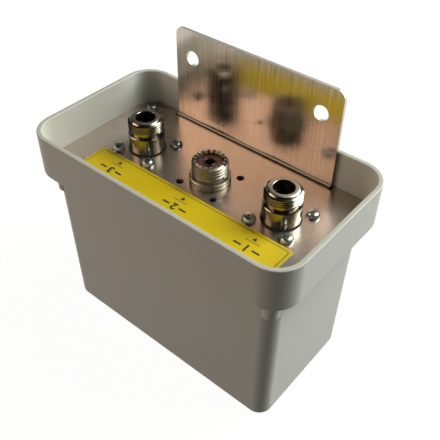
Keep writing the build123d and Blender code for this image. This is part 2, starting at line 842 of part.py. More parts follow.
fuse_height = clip_sheet + fuse_radius + fuse_cap_thickness + fit_gap
fuse_seat = on_board(fuse_u, supply_z) * Pos(0, 0, fuse_height) * Rot(0, 90, 0)
cap_inner_end = fuse_length / 2 - fuse_cap_length
cap = upright(fuse_radius + fuse_cap_thickness, cap_inner_end, fuse_length / 2)
cap -= upright(fuse_radius + fuse_cap_gap, cap_inner_end - 1, fuse_length / 2 - fuse_cap_thickness)
save("fuse_tube", fuse_seat * Cylinder(fuse_radius, fuse_length - 2 * fuse_cap_thickness - fit_gap))
save("fuse_caps", fuse_seat * cap, fuse_seat * Rot(180, 0, 0) * cap)
clip_u = fuse_length / 2 - fuse_cap_length / 2
save("fuse_clips", *[on_board(fuse_u + side * clip_u, supply_z) * make_fuse_clip() for side in (-1, 1)])

capacitors = []
for number in range(electrolytic_count):
    can = upright(electrolytic_radius, 0, electrolytic_height)
    can = fillet(can.edges().sort_by(Axis.Z)[-1], electrolytic_rounding)
    capacitors.append(on_board(electrolytic_u + number * electrolytic_pitch, supply_z) * can)
save("electrolytic_capacitors", *capacitors)

choke = upright(choke_radius, 0, choke_height)
choke = fillet(choke.edges().sort_by(Axis.Z)[-1], choke_rounding)
save("supply_choke", on_board(choke_u, supply_z) * choke)

sink_seat = on_board(sink_u, supply_z)
save("heat_sink", sink_seat * make_heat_sink())
regulator_seat = sink_seat * Pos(sink_length / 2 - regulator_inset, 0, sink_base)
save("voltage_regulator", regulator_seat * make_regulator())
regulator_screw = screw(m3_radius, m3_head_radius, m3_head_height, regulator_screw_length)
head_height = sink_base + regulator_tab_thickness
save("regulator_screw", on_board(regulator_hole_u, supply_z) * Pos(0, 0, head_height) * regulator_screw)
save("regulator_nut", on_board(regulator_hole_u, supply_z) * nut(-board_thickness - m3_nut_height, 0, 0))

tail_z = board_top - tail_part_inset
arrester_u = socket_pitch + jack_tail_radius + arrester_clear + arrester_length / 2
arrester = Rot(0, 90, 0) * Cylinder(arrester_radius, arrester_length)
save("surge_arrester", on_board(arrester_u, tail_z) * Pos(0, 0, arrester_radius + fit_gap) * arrester)
coupling_u = -socket_pitch - coupling_offset
save("coupling_capacitor", on_board(coupling_u, tail_z) * upright(coupling_radius, 0, coupling_thickness))

# Small parts soldered flat on the board: left of the screen, in it, and by the socket tails
side_u = shield_offset_x - shield_length / 2 - smd_side_room
smd_places = [on_board(side_u, shield_z - smd_side_drop + row * smd_pitch)
              for row in range(smd_side_count)]
smd_places += [in_shield(chip_u - smd_chip_shift + column * smd_pitch, chip_v - smd_chip_drop)
               for column in range(smd_chip_count)]
smd_places += [on_board(socket_pitch - smd_tail_room - column * smd_pitch, tail_z - smd_tail_drop)
               for column in range(smd_tail_count)]
chips = [place * block((-smd_length / 2, smd_length / 2), (-smd_width / 2, smd_width / 2), (0, smd_height))
         for place in smd_places]
save("chip_components", *chips)


def lead(points):
    """Insulated wire along straight runs joined by tangent arcs."""
    points = [Vector(*point) for point in points]
    radii = []
    for before, corner, after in zip(points, points[1:], points[2:]):
        first, second = corner - before, after - corner
        half_turn = math.radians(first.get_angle(second)) / 2
        radii.append(lead_bend_share * min(first.length, second.length) / math.tan(half_turn))
    path = FilletPolyline(*points, radius=radii)
    start = Plane(origin=points[0], z_dir=points[1] - points[0])
    wire = sweep(start * Circle(lead_radius), path)
    share = wire.volume / (math.pi * lead_radius ** 2 * path.length)
    print("lead arcs", [round(radius, 1) for radius in radii], "length", round(path.length, 1),
          "volume share", round(share, 3))
    return wire


def route(start, end, shares):
    """Points of a lead, given as shares of the way along X, of the bulge and of the way down.

    The way down counts from 0 to 1 above the screen's top, and from 1 to 2 below it.
    """
    points = [start]
    screen_top = shield_z + shield_height / 2
    for along, out, down in shares:
        x = start[0] + along * (end[0] - start[0])
        z = start[2] + down * (screen_top - start[2])
        if down > 1:
            z = screen_top + (down - 1) * (end[2] - screen_top)
        points.append((x, socket_y - out * lead_bulge, z))
    return points + [end]


# Supply leads: from the socket's tail and its solder tag to the terminal block
tail_end = panel_bottom - lug_thickness - power_hex_thickness - power_rear_length
tail_end -= insulator_proud + power_tail_length
entry_y = board_front - terminal_depth / 2
entry_z = supply_z + terminal_height / 2 - lead_seat
entry_x = socket_offset_x + terminal_u
red_shares = [(0, 0, 0.347), (0.1, 0.239, 0.627), (0.278, 0.489, 0.733), (0.504, 0.62, 0.813),
              (0.729, 0.707, 1.062), (0.891, 0.783, 1.332), (0.981, 0.674, 1.646)]
red_end = (entry_x - terminal_pitch / 2, entry_y, entry_z)
save("red_lead", lead(route((power_x, socket_y, tail_end), red_end, red_shares)))
tag_x = power_x - lug_reach + lug_hole_inset
black_shares = [(0, 0, 0.252), (0.099, 0.283, 0.501), (0.304, 0.598, 0.725), (0.597, 0.848, 0.931),
                (0.839, 1, 1.197), (0.963, 0.935, 1.508), (1.003, 0.696, 1.769)]
black_end = (entry_x + terminal_pitch / 2, entry_y, entry_z)
save("black_lead", lead(route((tag_x, socket_y, panel_bottom - lug_thickness / 2), black_end,
                              black_shares)))
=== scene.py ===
import math

import bmesh
import bpy
from mathutils import Matrix, Quaternion, Vector


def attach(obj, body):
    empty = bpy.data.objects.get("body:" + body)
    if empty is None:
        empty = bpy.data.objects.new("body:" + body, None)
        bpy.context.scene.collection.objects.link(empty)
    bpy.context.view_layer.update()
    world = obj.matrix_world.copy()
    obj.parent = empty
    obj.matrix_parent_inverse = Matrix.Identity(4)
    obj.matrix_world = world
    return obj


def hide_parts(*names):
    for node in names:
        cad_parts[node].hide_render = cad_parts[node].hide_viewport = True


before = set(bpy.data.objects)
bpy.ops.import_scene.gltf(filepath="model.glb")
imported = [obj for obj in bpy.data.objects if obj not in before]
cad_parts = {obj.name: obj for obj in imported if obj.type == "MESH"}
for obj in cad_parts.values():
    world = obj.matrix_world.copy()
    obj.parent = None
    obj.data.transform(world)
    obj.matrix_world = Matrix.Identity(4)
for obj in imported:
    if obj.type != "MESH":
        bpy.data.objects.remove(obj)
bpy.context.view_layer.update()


# Camera: it stands in front of the right-hand corner, about 42 degrees up, and looks at the
# sockets from a quarter of a metre away, turned about a degree on its own axis.
camera_place = Vector((0.13627, -0.15637, 0.25047))
camera_target = Vector((0.01988, -0.01269, 0.082))
camera_roll = math.radians(0.95)
camera_data = bpy.data.cameras.new("camera")
camera_data.lens = 51.83
camera_data.sensor_width = 36
camera = bpy.data.objects.new("camera", camera_data)
camera.location = camera_place
aim = (camera_target - camera_place).to_track_quat("-Z", "Y")
camera.rotation_euler = (aim @ Quaternion((0, 0, 1), camera_roll)).to_euler()
bpy.context.scene.collection.objects.link(camera)
bpy.context.scene.camera = camera


# Studio: a white floor and white surroundings. Camera, glossy and transmission rays see plain
# white, while diffuse light is weaker, so that the pale case keeps its colour and its shadow.
def srgb(colour):
    """Turn an sRGB hex colour into linear red, green, blue and alpha."""
    parts = [int(colour[place:place + 2], 16) / 255 for place in (1, 3, 5)]
    return [part / 12.92 if part < 0.04045 else ((part + 0.055) / 1.055) ** 2.4 for part in parts] + [1]


def node(tree, kind, values=None, links=None, **settings):
    """Add a shader node, set its options and its inputs, and link its inputs from other nodes.

    The kind is Blender's name for it without "ShaderNode" before it. A node that is given as a
    link's source stands for its first output.
    """
    made = tree.nodes.new("ShaderNode" + kind)
    for name, value in settings.items():
        setattr(made, name, value)
    for key, value in (values or {}).items():
        made.inputs[key].default_value = value
    for key, source in (links or {}).items():
        tree.links.new(getattr(source, "outputs", [source])[0], made.inputs[key])
    return made


def seen_rays(tree):
    """One for the rays that show the surroundings, as such or in metal and glass."""
    path = node(tree, "LightPath").outputs
    seen = node(tree, "Math", links={0: path["Is Camera Ray"], 1: path["Is Glossy Ray"]},
                operation="MAXIMUM")
    return node(tree, "Math", links={0: seen, 1: path["Is Transmission Ray"]}, operation="MAXIMUM")


def emptied(made):
    """The node tree of a new material or world, without its first nodes."""
    made.use_nodes = True
    made.node_tree.nodes.clear()
    return made.node_tree


def shown(name, bm, *materials):
    """Add an object of a mesh to the scene, and free what it was drawn in."""
    mesh = bpy.data.meshes.new(name)
    bm.to_mesh(mesh)
    bm.free()
    for material in materials:
        mesh.materials.append(material)
    made = bpy.data.objects.new(name, mesh)
    bpy.context.scene.collection.objects.link(made)
    return made


bpy.context.scene.view_settings.view_transform = "Standard"
floor_paper = bpy.data.materials.new("matt_white_paper")
tree = emptied(floor_paper)
lit = node(tree, "BsdfDiffuse", {"Color": srgb("#3c3b38")})
glow = node(tree, "Emission", {"Color": srgb("#ffffff"), "Strength": 0.965})
both = node(tree, "AddShader", links={0: lit, 1: glow})
surface = node(tree, "MixShader", links={0: seen_rays(tree), 1: lit, 2: both})
node(tree, "OutputMaterial", links={"Surface": surface})

bm = bmesh.new()
bmesh.ops.create_circle(bm, cap_ends=True, segments=96, radius=4.0)
shown("floor", bm, floor_paper)

world = bpy.data.worlds.new("white_studio")
tree = emptied(world)
dim = node(tree, "Background", {"Color": srgb("#fffaf2"), "Strength": 0.06})
white = node(tree, "Background", {"Color": srgb("#ffffff"), "Strength": 1.0})
surface = node(tree, "MixShader", links={0: seen_rays(tree), 1: dim, 2: white})
node(tree, "OutputWorld", links={"Surface": surface})
bpy.context.scene.world = world


# Lamps: a large soft one on the right, a little behind, which lights the right side and the
# panel, with a weak strip beside it that puts a glint on the sockets. Two weaker, warmer ones in
# front on the left light the front and are mirrored in the panel, and a faint one is behind.
def lamp(name, turn, height, distance, size, power, colour):
    """Add a soft lamp round the sockets, turned from the front towards the right, in degrees."""
    data = bpy.data.lights.new(name, "AREA")
    data.shape = "RECTANGLE"
    data.size, data.size_y = size
    data.energy = power
    data.color = srgb(colour)[:3]
    made = bpy.data.objects.new(name, data)
    turn, height = math.radians(turn), math.radians(height)
    direction = Vector((math.sin(turn) * math.cos(height), -math.cos(turn) * math.cos(height),
                        math.sin(height)))
    made.location = Vector((0, 0, 0.09)) + distance * direction
    made.rotation_euler = (-direction).to_track_quat("-Z", "Y").to_euler()
    bpy.context.scene.collection.objects.link(made)


lamp("key_lamp", 147, 40, 1.0, (0.65, 0.9), 20.3, "#f9fffa")
lamp("strip_lamp", 107, 42, 1.0, (0.55, 0.22), 0.65, "#fffdf4")
lamp("fill_lamp", -44, 33, 1.0, (0.64, 0.42), 1.85, "#ffe1c6")
lamp("side_lamp", -44, 13, 1.0, (0.6, 0.4), 2.0, "#fff4e2")
lamp("back_lamp", -141, 36, 1.0, (0.8, 0.5), 0.14, "#fffaf2")


# Studio walls: dull grey cloth all round and overhead, outside the view, which the bright metal
# shows as its dark bands. The camera looks past it, and the white shows below its hem.
grey_cloth = bpy.data.materials.new("grey_studio_cloth")
tree = emptied(grey_cloth)
cloth = node(tree, "BsdfDiffuse", {"Color": srgb("#3e3a35")})
node(tree, "OutputMaterial", links={"Surface": cloth})
bm = bmesh.new()
bmesh.ops.create_uvsphere(bm, u_segments=48, v_segments=24, radius=1.8)
bmesh.ops.bisect_plane(bm, geom=bm.verts[:] + bm.edges[:] + bm.faces[:], plane_co=(0, 0, 0.25),
                       plane_no=(0, 0, -1), clear_outer=True)
bmesh.ops.reverse_faces(bm, faces=bm.faces)
walls = shown("studio_walls", bm, grey_cloth)
walls.visible_camera = False
walls.visible_shadow = False


# Case: a deep bucket with a wider collar round its mouth, injection moulded in light grey
# ABS, with four cored bosses in its corners and a ledge for the panel. The mould was spark
# eroded, which leaves a fine matt grain.
def merged_copy(name):
    """A copy of a CAD piece in millimetres, its loose triangles merged and its flats made whole."""
    bm = bmesh.new()
    bm.from_mesh(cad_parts[name].data)
    bmesh.ops.scale(bm, vec=(1000, 1000, 1000), verts=bm.verts)
    bmesh.ops.remove_doubles(bm, verts=bm.verts, dist=0.002)
    bmesh.ops.dissolve_limit(bm, angle_limit=math.radians(0.5), verts=bm.verts, edges=bm.edges)
    return bm


def eased(bm, width, angle=50, segments=2):
    """Round the edges that are sharper than an angle."""
    edges = [edge for edge in bm.edges
             if len(edge.link_faces) == 2 and edge.calc_face_angle() > math.radians(angle)]
    bmesh.ops.bevel(bm, geom=edges, offset=width, segments=segments, profile=0.5, affect="EDGES",
                    material=-1, clamp_overlap=True)
    return bm


def piece(name, bm, *materials, slot, replaces=None, rides="chassis", place=None):
    """Make an object of a mesh drawn in millimetres, and say how it stands for the part.

    It is smooth up to 35 degrees, its flats kept flat. It rides on a CAD body and hides
    the CAD node that it replaces, where there is one. The slot is not used.
    """
    bm.transform(place or Matrix())
    bmesh.ops.scale(bm, vec=(0.001, 0.001, 0.001), verts=bm.verts)
    made = shown(name, bm, *materials)
    made.data.shade_smooth()
    made.data.set_sharp_from_angle(angle=math.radians(35))
    level = made.modifiers.new("flat_faces_flat", "WEIGHTED_NORMAL")
    level.keep_sharp = True
    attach(made, rides)
    if replaces:
        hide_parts(replaces)


def taken_over(name, node_name, width, material, slot, rides="chassis"):
    """A CAD piece with its sharp edges rounded by a width, or as it is at width 0."""
    bm = merged_copy(node_name)
    if width:
        eased(bm, width)
    piece(name, bm, material, rides=rides, replaces=node_name, slot=slot)


def blank(name, fixed):
    """A new material, its tree, its shader with some fixed inputs, and its object coordinates."""
    made = bpy.data.materials.new(name)
    tree = emptied(made)
    shader = node(tree, "BsdfPrincipled", fixed)
    node(tree, "OutputMaterial", links={"Surface": shader.outputs["BSDF"]})
    return made, tree, shader, node(tree, "TexCoord").outputs["Object"]


def plugged(tree, shader, tone, matt, bump=None):
    """Give the shader its colour, its roughness and its relief."""
    tree.links.new(tone.outputs["Result"], shader.inputs["Base Color"])
    tree.links.new(matt.outputs[0], shader.inputs["Roughness"])
    if bump:
        tree.links.new(bump.outputs[0], shader.inputs["Normal"])


metal = {"Metallic": 1}


def mottled(name, fixed, colours, roughness, waves, detail, relief=None):
    """A material whose colour, roughness and relief follow one pattern of noise.

    waves counts the pattern's waves to the metre, or to the metre along each axis. relief is a
    bump's strength and its height in metres.
    """
    made, tree, shader, place = blank(name, fixed)
    if isinstance(waves, tuple):
        place = node(tree, "Mapping", {"Scale": waves}, {"Vector": place}).outputs[0]
        waves = 1
    noise = node(tree, "TexNoise", {"Scale": waves, "Detail": detail}, {"Vector": place})
    tone = node(tree, "Mix", {"A": srgb(colours[0]), "B": srgb(colours[1])},
                {"Factor": noise}, data_type="RGBA")
    matt = node(tree, "MapRange", {"To Min": roughness[0], "To Max": roughness[1]}, {"Value": noise})
    bump = relief and node(tree, "Bump", {"Strength": relief[0], "Distance": relief[1]},
                           {"Height": noise})
    plugged(tree, shader, tone, matt, bump)
    return made


# Grain of about 0.1 mm, drawn 0.35 mm wide so that it shows; the slow mottle is handling
moulded_abs, tree, shader, place = blank("moulded_abs_light_grey",
                                         {"IOR": 1.54, "Specular IOR Level": 0.35})
grain = node(tree, "TexNoise", {"Scale": 2900, "Detail": 2}, {"Vector": place})
mottle = node(tree, "TexNoise", {"Scale": 28, "Detail": 4}, {"Vector": place})
tone = node(tree, "Mix", {"A": srgb("#c3c1ba"), "B": srgb("#cbc9c2")},
            {"Factor": mottle}, data_type="RGBA")
# The flat of the rim, 99.1 mm up, is painted darker grey: painted shade on its lit top
parts = node(tree, "SeparateXYZ", links={"Vector": place})
rim_top_painted_shade = node(tree, "MapRange", {"From Min": 0.0989, "From Max": 0.09905},
              {"Value": parts.outputs["Z"]})
tone = node(tree, "Mix", {"B": srgb("#a7a59c")},
            {"Factor": rim_top_painted_shade, "A": tone.outputs["Result"]}, data_type="RGBA")
matt = node(tree, "MapRange", {"To Min": 0.46, "To Max": 0.62}, {"Value": mottle})
bump = node(tree, "Bump", {"Strength": 0.35, "Distance": 0.00004}, {"Height": grain})
plugged(tree, shader, tone, matt, bump)

taken_over("moulded_case", "case_shell", 0, moulded_abs, "moulded_case", rides="case")


# Boss inserts: two knurled brass bushes, pressed hot into the bosses that hold a panel screw.
# Lathe marks ring the brass, drawn 0.17 mm apart so that they show: a warm, streaked glint
turned_brass = mottled("turned_brass", metal, ("#d8b25e", "#e6c878"), (0.2, 0.36), (20, 20, 6000), 2)

taken_over("boss_bushes", "boss_inserts", 0, turned_brass, "brass_inserts", rides="case")


# Panel gasket: a frame punched from black EPDM sheet, laid on the case's ledge under the panel.
# Wax blooms grey on the black in patches of about 1 mm, and leaves it dull
black_rubber = mottled("black_epdm_rubber", {"IOR": 1.5}, ("#141414", "#262523"),
                       (0.6, 0.85), 900, 3, relief=(0.4, 0.00005))

taken_over("rubber_gasket", "panel_gasket", 0, black_rubber, "black_rubber", rides="case")


# Panel: one stainless steel sheet, 1.5 mm thick, brushed before it was punched, its back edge
# bent up into the mounting flange. The brush lines run across the long side and on up the
# flange, so reflections smear along the long side.
panel_top, bend_top = 82.0, 86.0
# In metres, for the shader: where the bend starts and ends in height, the sum of Y and Z along
# its middle with the reach of its crease, and the flange's middle and half its width along X
bend_low, bend_high = panel_top / 1000, bend_top / 1000
bend_sum, crease_core, crease_reach = 0.11525, 0.0008, 0.0015
flange_middle, flange_half = -0.0008, 0.0431
brushed_steel, tree, shader, place = blank("brushed_stainless_steel", {**metal, "Anisotropic": 0.5})
# Brush lines of about 0.05 mm, drawn up to 0.7 mm wide and 30 mm long so that they show
stretch = node(tree, "Mapping", {"Scale": (1400, 35, 35)}, {"Vector": place})
lines = node(tree, "TexNoise", {"Scale": 1, "Detail": 2}, {"Vector": stretch})
clouds = node(tree, "TexNoise", {"Scale": 60, "Detail": 1}, {"Vector": place})
streak = node(tree, "MapRange", {"From Min": 0.3, "From Max": 0.7}, {"Value": lines})
# The panel itself is rubbed smooth: only the flange still shows its lines
parts = node(tree, "SeparateXYZ", links={"Vector": place})
fresh = node(tree, "MapRange",
             {"From Min": bend_low, "From Max": bend_high, "To Min": 0, "To Max": 0.6},
             {"Value": parts.outputs["Z"]})
streak = node(tree, "Mix", {"A": 0.5}, {"Factor": fresh, "B": streak})
tone = node(tree, "Mix", {"A": srgb("#a89b90"), "B": srgb("#dccfc5")},
            {"Factor": streak}, data_type="RGBA")
smear = node(tree, "MapRange", {"To Min": 0.11, "To Max": 0.21}, {"Value": streak})
cloudy = node(tree, "MapRange", {"To Min": -0.02, "To Max": 0.04}, {"Value": clouds})
worn = node(tree, "MapRange",
            {"From Min": bend_low, "From Max": bend_high, "To Min": 0.1, "To Max": 0},
            {"Value": parts.outputs["Z"]})
matt = node(tree, "Math", links={0: smear, 1: cloudy}, operation="ADD")
matt = node(tree, "Math", links={0: matt, 1: worn}, operation="ADD")
# The flange is bowed by some 0.2 mm, which shows in its reflections only
flange = node(tree, "Math", {1: bend_high}, {0: parts.outputs["Z"]}, operation="GREATER_THAN")
bow = node(tree, "Math", {1: -0.75, 2: 0.026}, {0: parts.outputs["X"]}, operation="MULTIPLY_ADD")
bow = node(tree, "Math", links={0: bow, 1: flange}, operation="MULTIPLY")
bow = node(tree, "CombineXYZ", links={"X": bow})
flat = node(tree, "NewGeometry")
bow = node(tree, "VectorMath", links={0: flat.outputs["Normal"], 1: bow}, operation="ADD")
bow = node(tree, "VectorMath", links={0: bow}, operation="NORMALIZE")
bump = node(tree, "Bump", {"Distance": 0.000008}, {"Height": lines, "Strength": fresh, "Normal": bow})
# Painted shade along the bend, 1.5 mm to each side of its middle: dark brown, and duller
along = node(tree, "Math", links={0: parts.outputs["Y"], 1: parts.outputs["Z"]}, operation="ADD")
off = node(tree, "Math", {1: bend_sum}, {0: along}, operation="SUBTRACT")
off = node(tree, "Math", links={0: off}, operation="ABSOLUTE")
crease_painted_shade = node(tree, "MapRange",
            {"From Min": crease_core, "From Max": crease_reach, "To Min": 1, "To Max": 0},
            {"Value": off}, interpolation_type="SMOOTHSTEP")
core = node(tree, "MapRange", {"From Max": crease_core, "To Min": 0.45, "To Max": 0.85},
            {"Value": off}, interpolation_type="SMOOTHSTEP")
crease_painted_shade = node(tree, "Math", links={0: crease_painted_shade, 1: core}, operation="MULTIPLY")
side = node(tree, "Math", {1: -flange_middle}, {0: parts.outputs["X"]}, operation="ADD")
side = node(tree, "Math", links={0: side}, operation="ABSOLUTE")
side = node(tree, "Math", {1: flange_half}, {0: side}, operation="LESS_THAN")
crease_painted_shade = node(tree, "Math", links={0: crease_painted_shade, 1: side}, operation="MULTIPLY")
# The bend's painted shade: dark brown mixed into the steel
tone = node(tree, "Mix", {"B": srgb("#5c5040")},
            {"Factor": crease_painted_shade, "A": tone.outputs["Result"]}, data_type="RGBA")
matt = node(tree, "Math", {1: 0.25}, {0: crease_painted_shade, 2: matt}, operation="MULTIPLY_ADD")
across = node(tree, "Tangent", direction_type="UV_MAP", uv_map="brushing")
plugged(tree, shader, tone, matt, bump)
tree.links.new(across.outputs[0], shader.inputs["Tangent"])

# Sheared edge: broken metal, light and rough
sheared = mottled("sheared_stainless_edge", metal, ("#d0cfc9", "#e0deda"), (0.45, 0.6), 1800, 3)

bm = merged_copy("panel_plate")
brushing = bm.loops.layers.uv.new("brushing")
for face in bm.faces:
    centre = face.calc_center_median()
    on_face = abs(face.normal.y) > 0.9 if centre.z > bend_top else abs(face.normal.z) > 0.9
    in_bend = panel_top - 2 < centre.z < bend_top and centre.y > 30
    face.material_index = 0 if on_face or in_bend else 1
    for loop in face.loops:
        loop[brushing].uv = (loop.vert.co.x / 100, (loop.vert.co.y + loop.vert.co.z) / 100)
piece("brushed_panel", bm, brushed_steel, sheared, replaces="panel_plate", slot="brushed_sheet")


# Label: a strip of yellow polyester film, stuck on the panel in front of the sockets. A black
# keyline runs round inside its edge, and each socket has a number and a pointer, read from
# the flange's side.
label_top = panel_top + 0.2
label_centre = Vector((0.95, -19.7, 0))
label_size = Vector((103.3, 22.0, 0))
keyline_inset = 1.1
keyline_width = 0.3
antenna_x, power_x, output_x = 37.4, 0.45, -36.5
numeral_row, line_row, pointer_row = -18.4, -14.6, -12.9


def add_to(whole, part, *places):
    """Copy a shape into a larger mesh once for each place, and free the shape."""
    mesh = bpy.data.meshes.new("part")
    part.to_mesh(mesh)
    part.free()
    for place in places or [Matrix()]:
        copy = mesh.copy()
        copy.transform(place)
        whole.from_mesh(copy)
        bpy.data.meshes.remove(copy)
    bpy.data.meshes.remove(mesh)


def copies(part, *places):
    """A mesh of one shape, set down at each place."""
    bm = bmesh.new()
    add_to(bm, part, *places)
    return bm


def slab(low, high, edge=0.0, upright_edge=0.0):
    """A block between two corners, its upright edges and then all its sharp edges rounded."""
    low, high = Vector(low), Vector(high)
    size = high - low
    bm = bmesh.new()
    bmesh.ops.create_cube(bm, size=1, matrix=Matrix.Translation((low + high) / 2)
                          @ Matrix.Diagonal((*size, 1)))
    if upright_edge:
        uprights = [e for e in bm.edges if abs(e.verts[0].co.z - e.verts[1].co.z) > size.z / 2]
        bmesh.ops.bevel(bm, geom=uprights, offset=upright_edge, segments=6, profile=0.5,
                        affect="EDGES", material=-1)
    return eased(bm, edge) if edge else bm


# The sun has faded the yellow in patches about 20 mm across, and the film is half matt
yellow_film = mottled("printed_yellow_polyester", {"IOR": 1.45}, ("#c3a800", "#cdb106"),
                      (0.38, 0.55), 45, 5)

half = label_size / 2
bm = slab(label_centre - half + Vector((0, 0, panel_top)),
          label_centre + half + Vector((0, 0, label_top)), upright_edge=1.0)
piece("label_film", bm, yellow_film, replaces="label", slot="yellow_film")

# The ink is thin and worn in specks of 0.7 mm, where the yellow turns it olive
black_ink = mottled("screen_printed_black_ink", {}, ("#22201a", "#3a3624"), (0.4, 0.6), 1500, 3)

ink_top = label_top + 0.02
print_bm = bmesh.new()
outer = half - Vector((keyline_inset, keyline_inset, 0))
bmesh.ops.create_grid(print_bm, x_segments=1, y_segments=1, size=1,
                      matrix=Matrix.Translation(label_centre + Vector((0, 0, ink_top)))
                      @ Matrix.Diagonal((outer.x, outer.y, 1, 1)))
bmesh.ops.bevel(print_bm, geom=print_bm.verts[:], offset=1.4, segments=6, profile=0.5,
                affect="VERTICES", material=-1)
bmesh.ops.inset_region(print_bm, faces=print_bm.faces[:], thickness=keyline_width,
                       use_boundary=True, use_even_offset=True)
inner = max(print_bm.faces, key=lambda face: face.calc_area())
bmesh.ops.delete(print_bm, geom=[inner], context="FACES_ONLY")
for text, x in (("1", antenna_x), ("2", power_x), ("3", output_x)):
    words = bpy.data.curves.new("numeral", "FONT")
    words.body = text
    words.size = 5.2
    words.offset = 0.2
    words.align_x = "CENTER"
    words.align_y = "CENTER"
    lettering = bpy.data.objects.new("numeral", words)
    bpy.context.scene.collection.objects.link(lettering)
    flat = bpy.data.meshes.new_from_object(lettering.evaluated_get(bpy.context.evaluated_depsgraph_get()))
    bpy.data.objects.remove(lettering)
    flat.transform(Matrix.Translation((x, numeral_row, ink_top)) @ Matrix.Rotation(math.pi, 4, "Z"))
    print_bm.from_mesh(flat)
    for shift, length, width, row in ((-4.4, 3.6, 0.9, numeral_row), (4.4, 3.6, 0.9, numeral_row),
                                      (0, 7.0, 0.3, line_row)):
        bar = bmesh.new()
        bmesh.ops.create_grid(bar, x_segments=1, y_segments=1, size=1,
                              matrix=Matrix.Translation((x + shift, row, ink_top))
                              @ Matrix.Diagonal((length / 2, width / 2, 1, 1)))
        add_to(print_bm, bar)
    pointer = bmesh.new()
    bmesh.ops.create_circle(pointer, cap_ends=True, segments=3, radius=1.3,
                            matrix=Matrix.Translation((x, pointer_row, ink_top)))
    add_to(print_bm, pointer)
piece("label_print", print_bm, black_ink, slot="yellow_film")


# Panel screws: two M3 pan-head screws with a cross recess, steel with bright zinc plating,
# turned into the brass bushes of the case.
def turned(outline, steps=64, closed=True):
    """Turn a (radius, height) outline about the upright axis. An open one starts and ends on it."""
    bm = bmesh.new()
    verts = [bm.verts.new((radius, 0, height)) for radius, height in outline]
    ends = verts[1:] + verts[:1] if closed else verts[1:]
    edges = [bm.edges.new(pair) for pair in zip(verts, ends)]
    bmesh.ops.spin(bm, geom=verts + edges, axis=(0, 0, 1), cent=(0, 0, 0), angle=2 * math.pi,
                   steps=steps, use_merge=True)
    bmesh.ops.remove_doubles(bm, verts=bm.verts, dist=0.0005)
    bmesh.ops.recalc_face_normals(bm, faces=bm.faces)
    return bm


def thread(root, crest, pitch, low, turns, steps=32):
    """A screw thread: its section wound up and round the upright axis, from a height up."""
    bm = bmesh.new()
    inside = root - 0.1 * (crest - root)
    section = [(inside, 0), (crest, 0.38 * pitch), (crest, 0.6 * pitch), (inside, 0.98 * pitch)]
    verts = [bm.verts.new((radius, 0, low + height)) for radius, height in section]
    edges = [bm.edges.new(pair) for pair in zip(verts, verts[1:] + verts[:1])]
    count = round(turns * steps)
    bmesh.ops.spin(bm, geom=verts + edges, axis=(0, 0, 1), cent=(0, 0, 0), angle=turns * 2 * math.pi,
                   dvec=(0, 0, turns * pitch / count), steps=count)
    bmesh.ops.holes_fill(bm, edges=bm.edges, sides=4)
    bmesh.ops.recalc_face_normals(bm, faces=bm.faces)
    return bm


def cut(bm, cutter):
    """Cut one closed shape out of another, and free both."""
    pair = []
    for shape in (bm, cutter):
        mesh = bpy.data.meshes.new("blank")
        shape.to_mesh(mesh)
        shape.free()
        pair.append(bpy.data.objects.new("blank", mesh))
        bpy.context.scene.collection.objects.link(pair[-1])
    tool = pair[0].modifiers.new("cut", "BOOLEAN")
    tool.operation = "DIFFERENCE"
    tool.solver = "EXACT"
    tool.use_self = True
    tool.object = pair[1]
    result = bmesh.new()
    result.from_object(pair[0], bpy.context.evaluated_depsgraph_get())
    for obj in pair:
        mesh = obj.data
        bpy.data.objects.remove(obj)
        bpy.data.meshes.remove(mesh)
    return result


def rod(radius, low, high, segments, top=None):
    """A cylinder between two heights, or a cone if its top has another radius."""
    bm = bmesh.new()
    bmesh.ops.create_cone(bm, cap_ends=True, segments=segments, radius1=radius,
                          radius2=top or radius, depth=high - low,
                          matrix=Matrix.Translation((0, 0, (low + high) / 2)))
    return bm


def pan_screw(radius, head_radius, head_height, pitch, length):
    """A pan-head screw whose head stands on height 0: domed head, cross recess and thread."""
    dome = [(0, head_height), (0.35 * head_radius, 0.99 * head_height),
            (0.6 * head_radius, 0.94 * head_height), (0.8 * head_radius, 0.82 * head_height),
            (0.93 * head_radius, 0.6 * head_height), (head_radius, 0.3 * head_height),
            (head_radius, 0.04 * head_height), (0.97 * head_radius, 0)]
    root = radius - 0.55 * pitch
    shank = [(root, 0), (root, 0.4 * pitch - length), (root - 0.4 * pitch, -length), (0, -length)]
    head = turned(dome + shank, steps=40, closed=False)
    recess = bmesh.new()
    for angle in (0, math.pi / 2):
        blade = slab((-0.62 * head_radius, -0.13 * head_radius, 0.5 * head_height),
                     (0.62 * head_radius, 0.13 * head_radius, 1.5 * head_height))
        floor_verts = [v for v in blade.verts if v.co.z < head_height]
        bmesh.ops.scale(blade, vec=(0.5, 0.7, 1), verts=floor_verts)
        add_to(recess, blade, Matrix.Rotation(angle, 4, "Z"))
    add_to(recess, rod(0.08 * head_radius, 0.4 * head_height, 1.4 * head_height, 16,
                       top=0.3 * head_radius))
    whole = cut(head, recess)
    turns = (length - pitch) / pitch
    add_to(whole, thread(root, radius, pitch, 0.5 * pitch - length, turns, steps=20))
    return whole


# Bright zinc is blue-grey in patches of about 1.4 mm, with faint dimples in its glint
zinc_steel = mottled("bright_zinc_plated_steel", metal, ("#a9aeab", "#c6cac7"),
                     (0.24, 0.36), 700, 4, relief=(0.15, 0.00004))


def at(x, y, z, turn=0.0):
    """The place of a piece that stands upright, turned about its own axis by some degrees."""
    return Matrix.Translation((x, y, z)) @ Matrix.Rotation(math.radians(turn), 4, "Z")


def round_about(count, first, step):
    """Places on one upright axis, each turned further by a step in degrees."""
    return [at(0, 0, 0, first + step * n) for n in range(count)]


# An M3 screw: its radius, its head's radius and height, and its pitch
m3_screw = (1.5, 2.8, 2.2, 0.5)
bm = copies(pan_screw(*m3_screw, length=10.0), at(-57, 28, panel_top, 20), at(57, -28, panel_top, 65))
piece("panel_pan_screws", bm, zinc_steel, replaces="panel_screws", slot="zinc_screws")


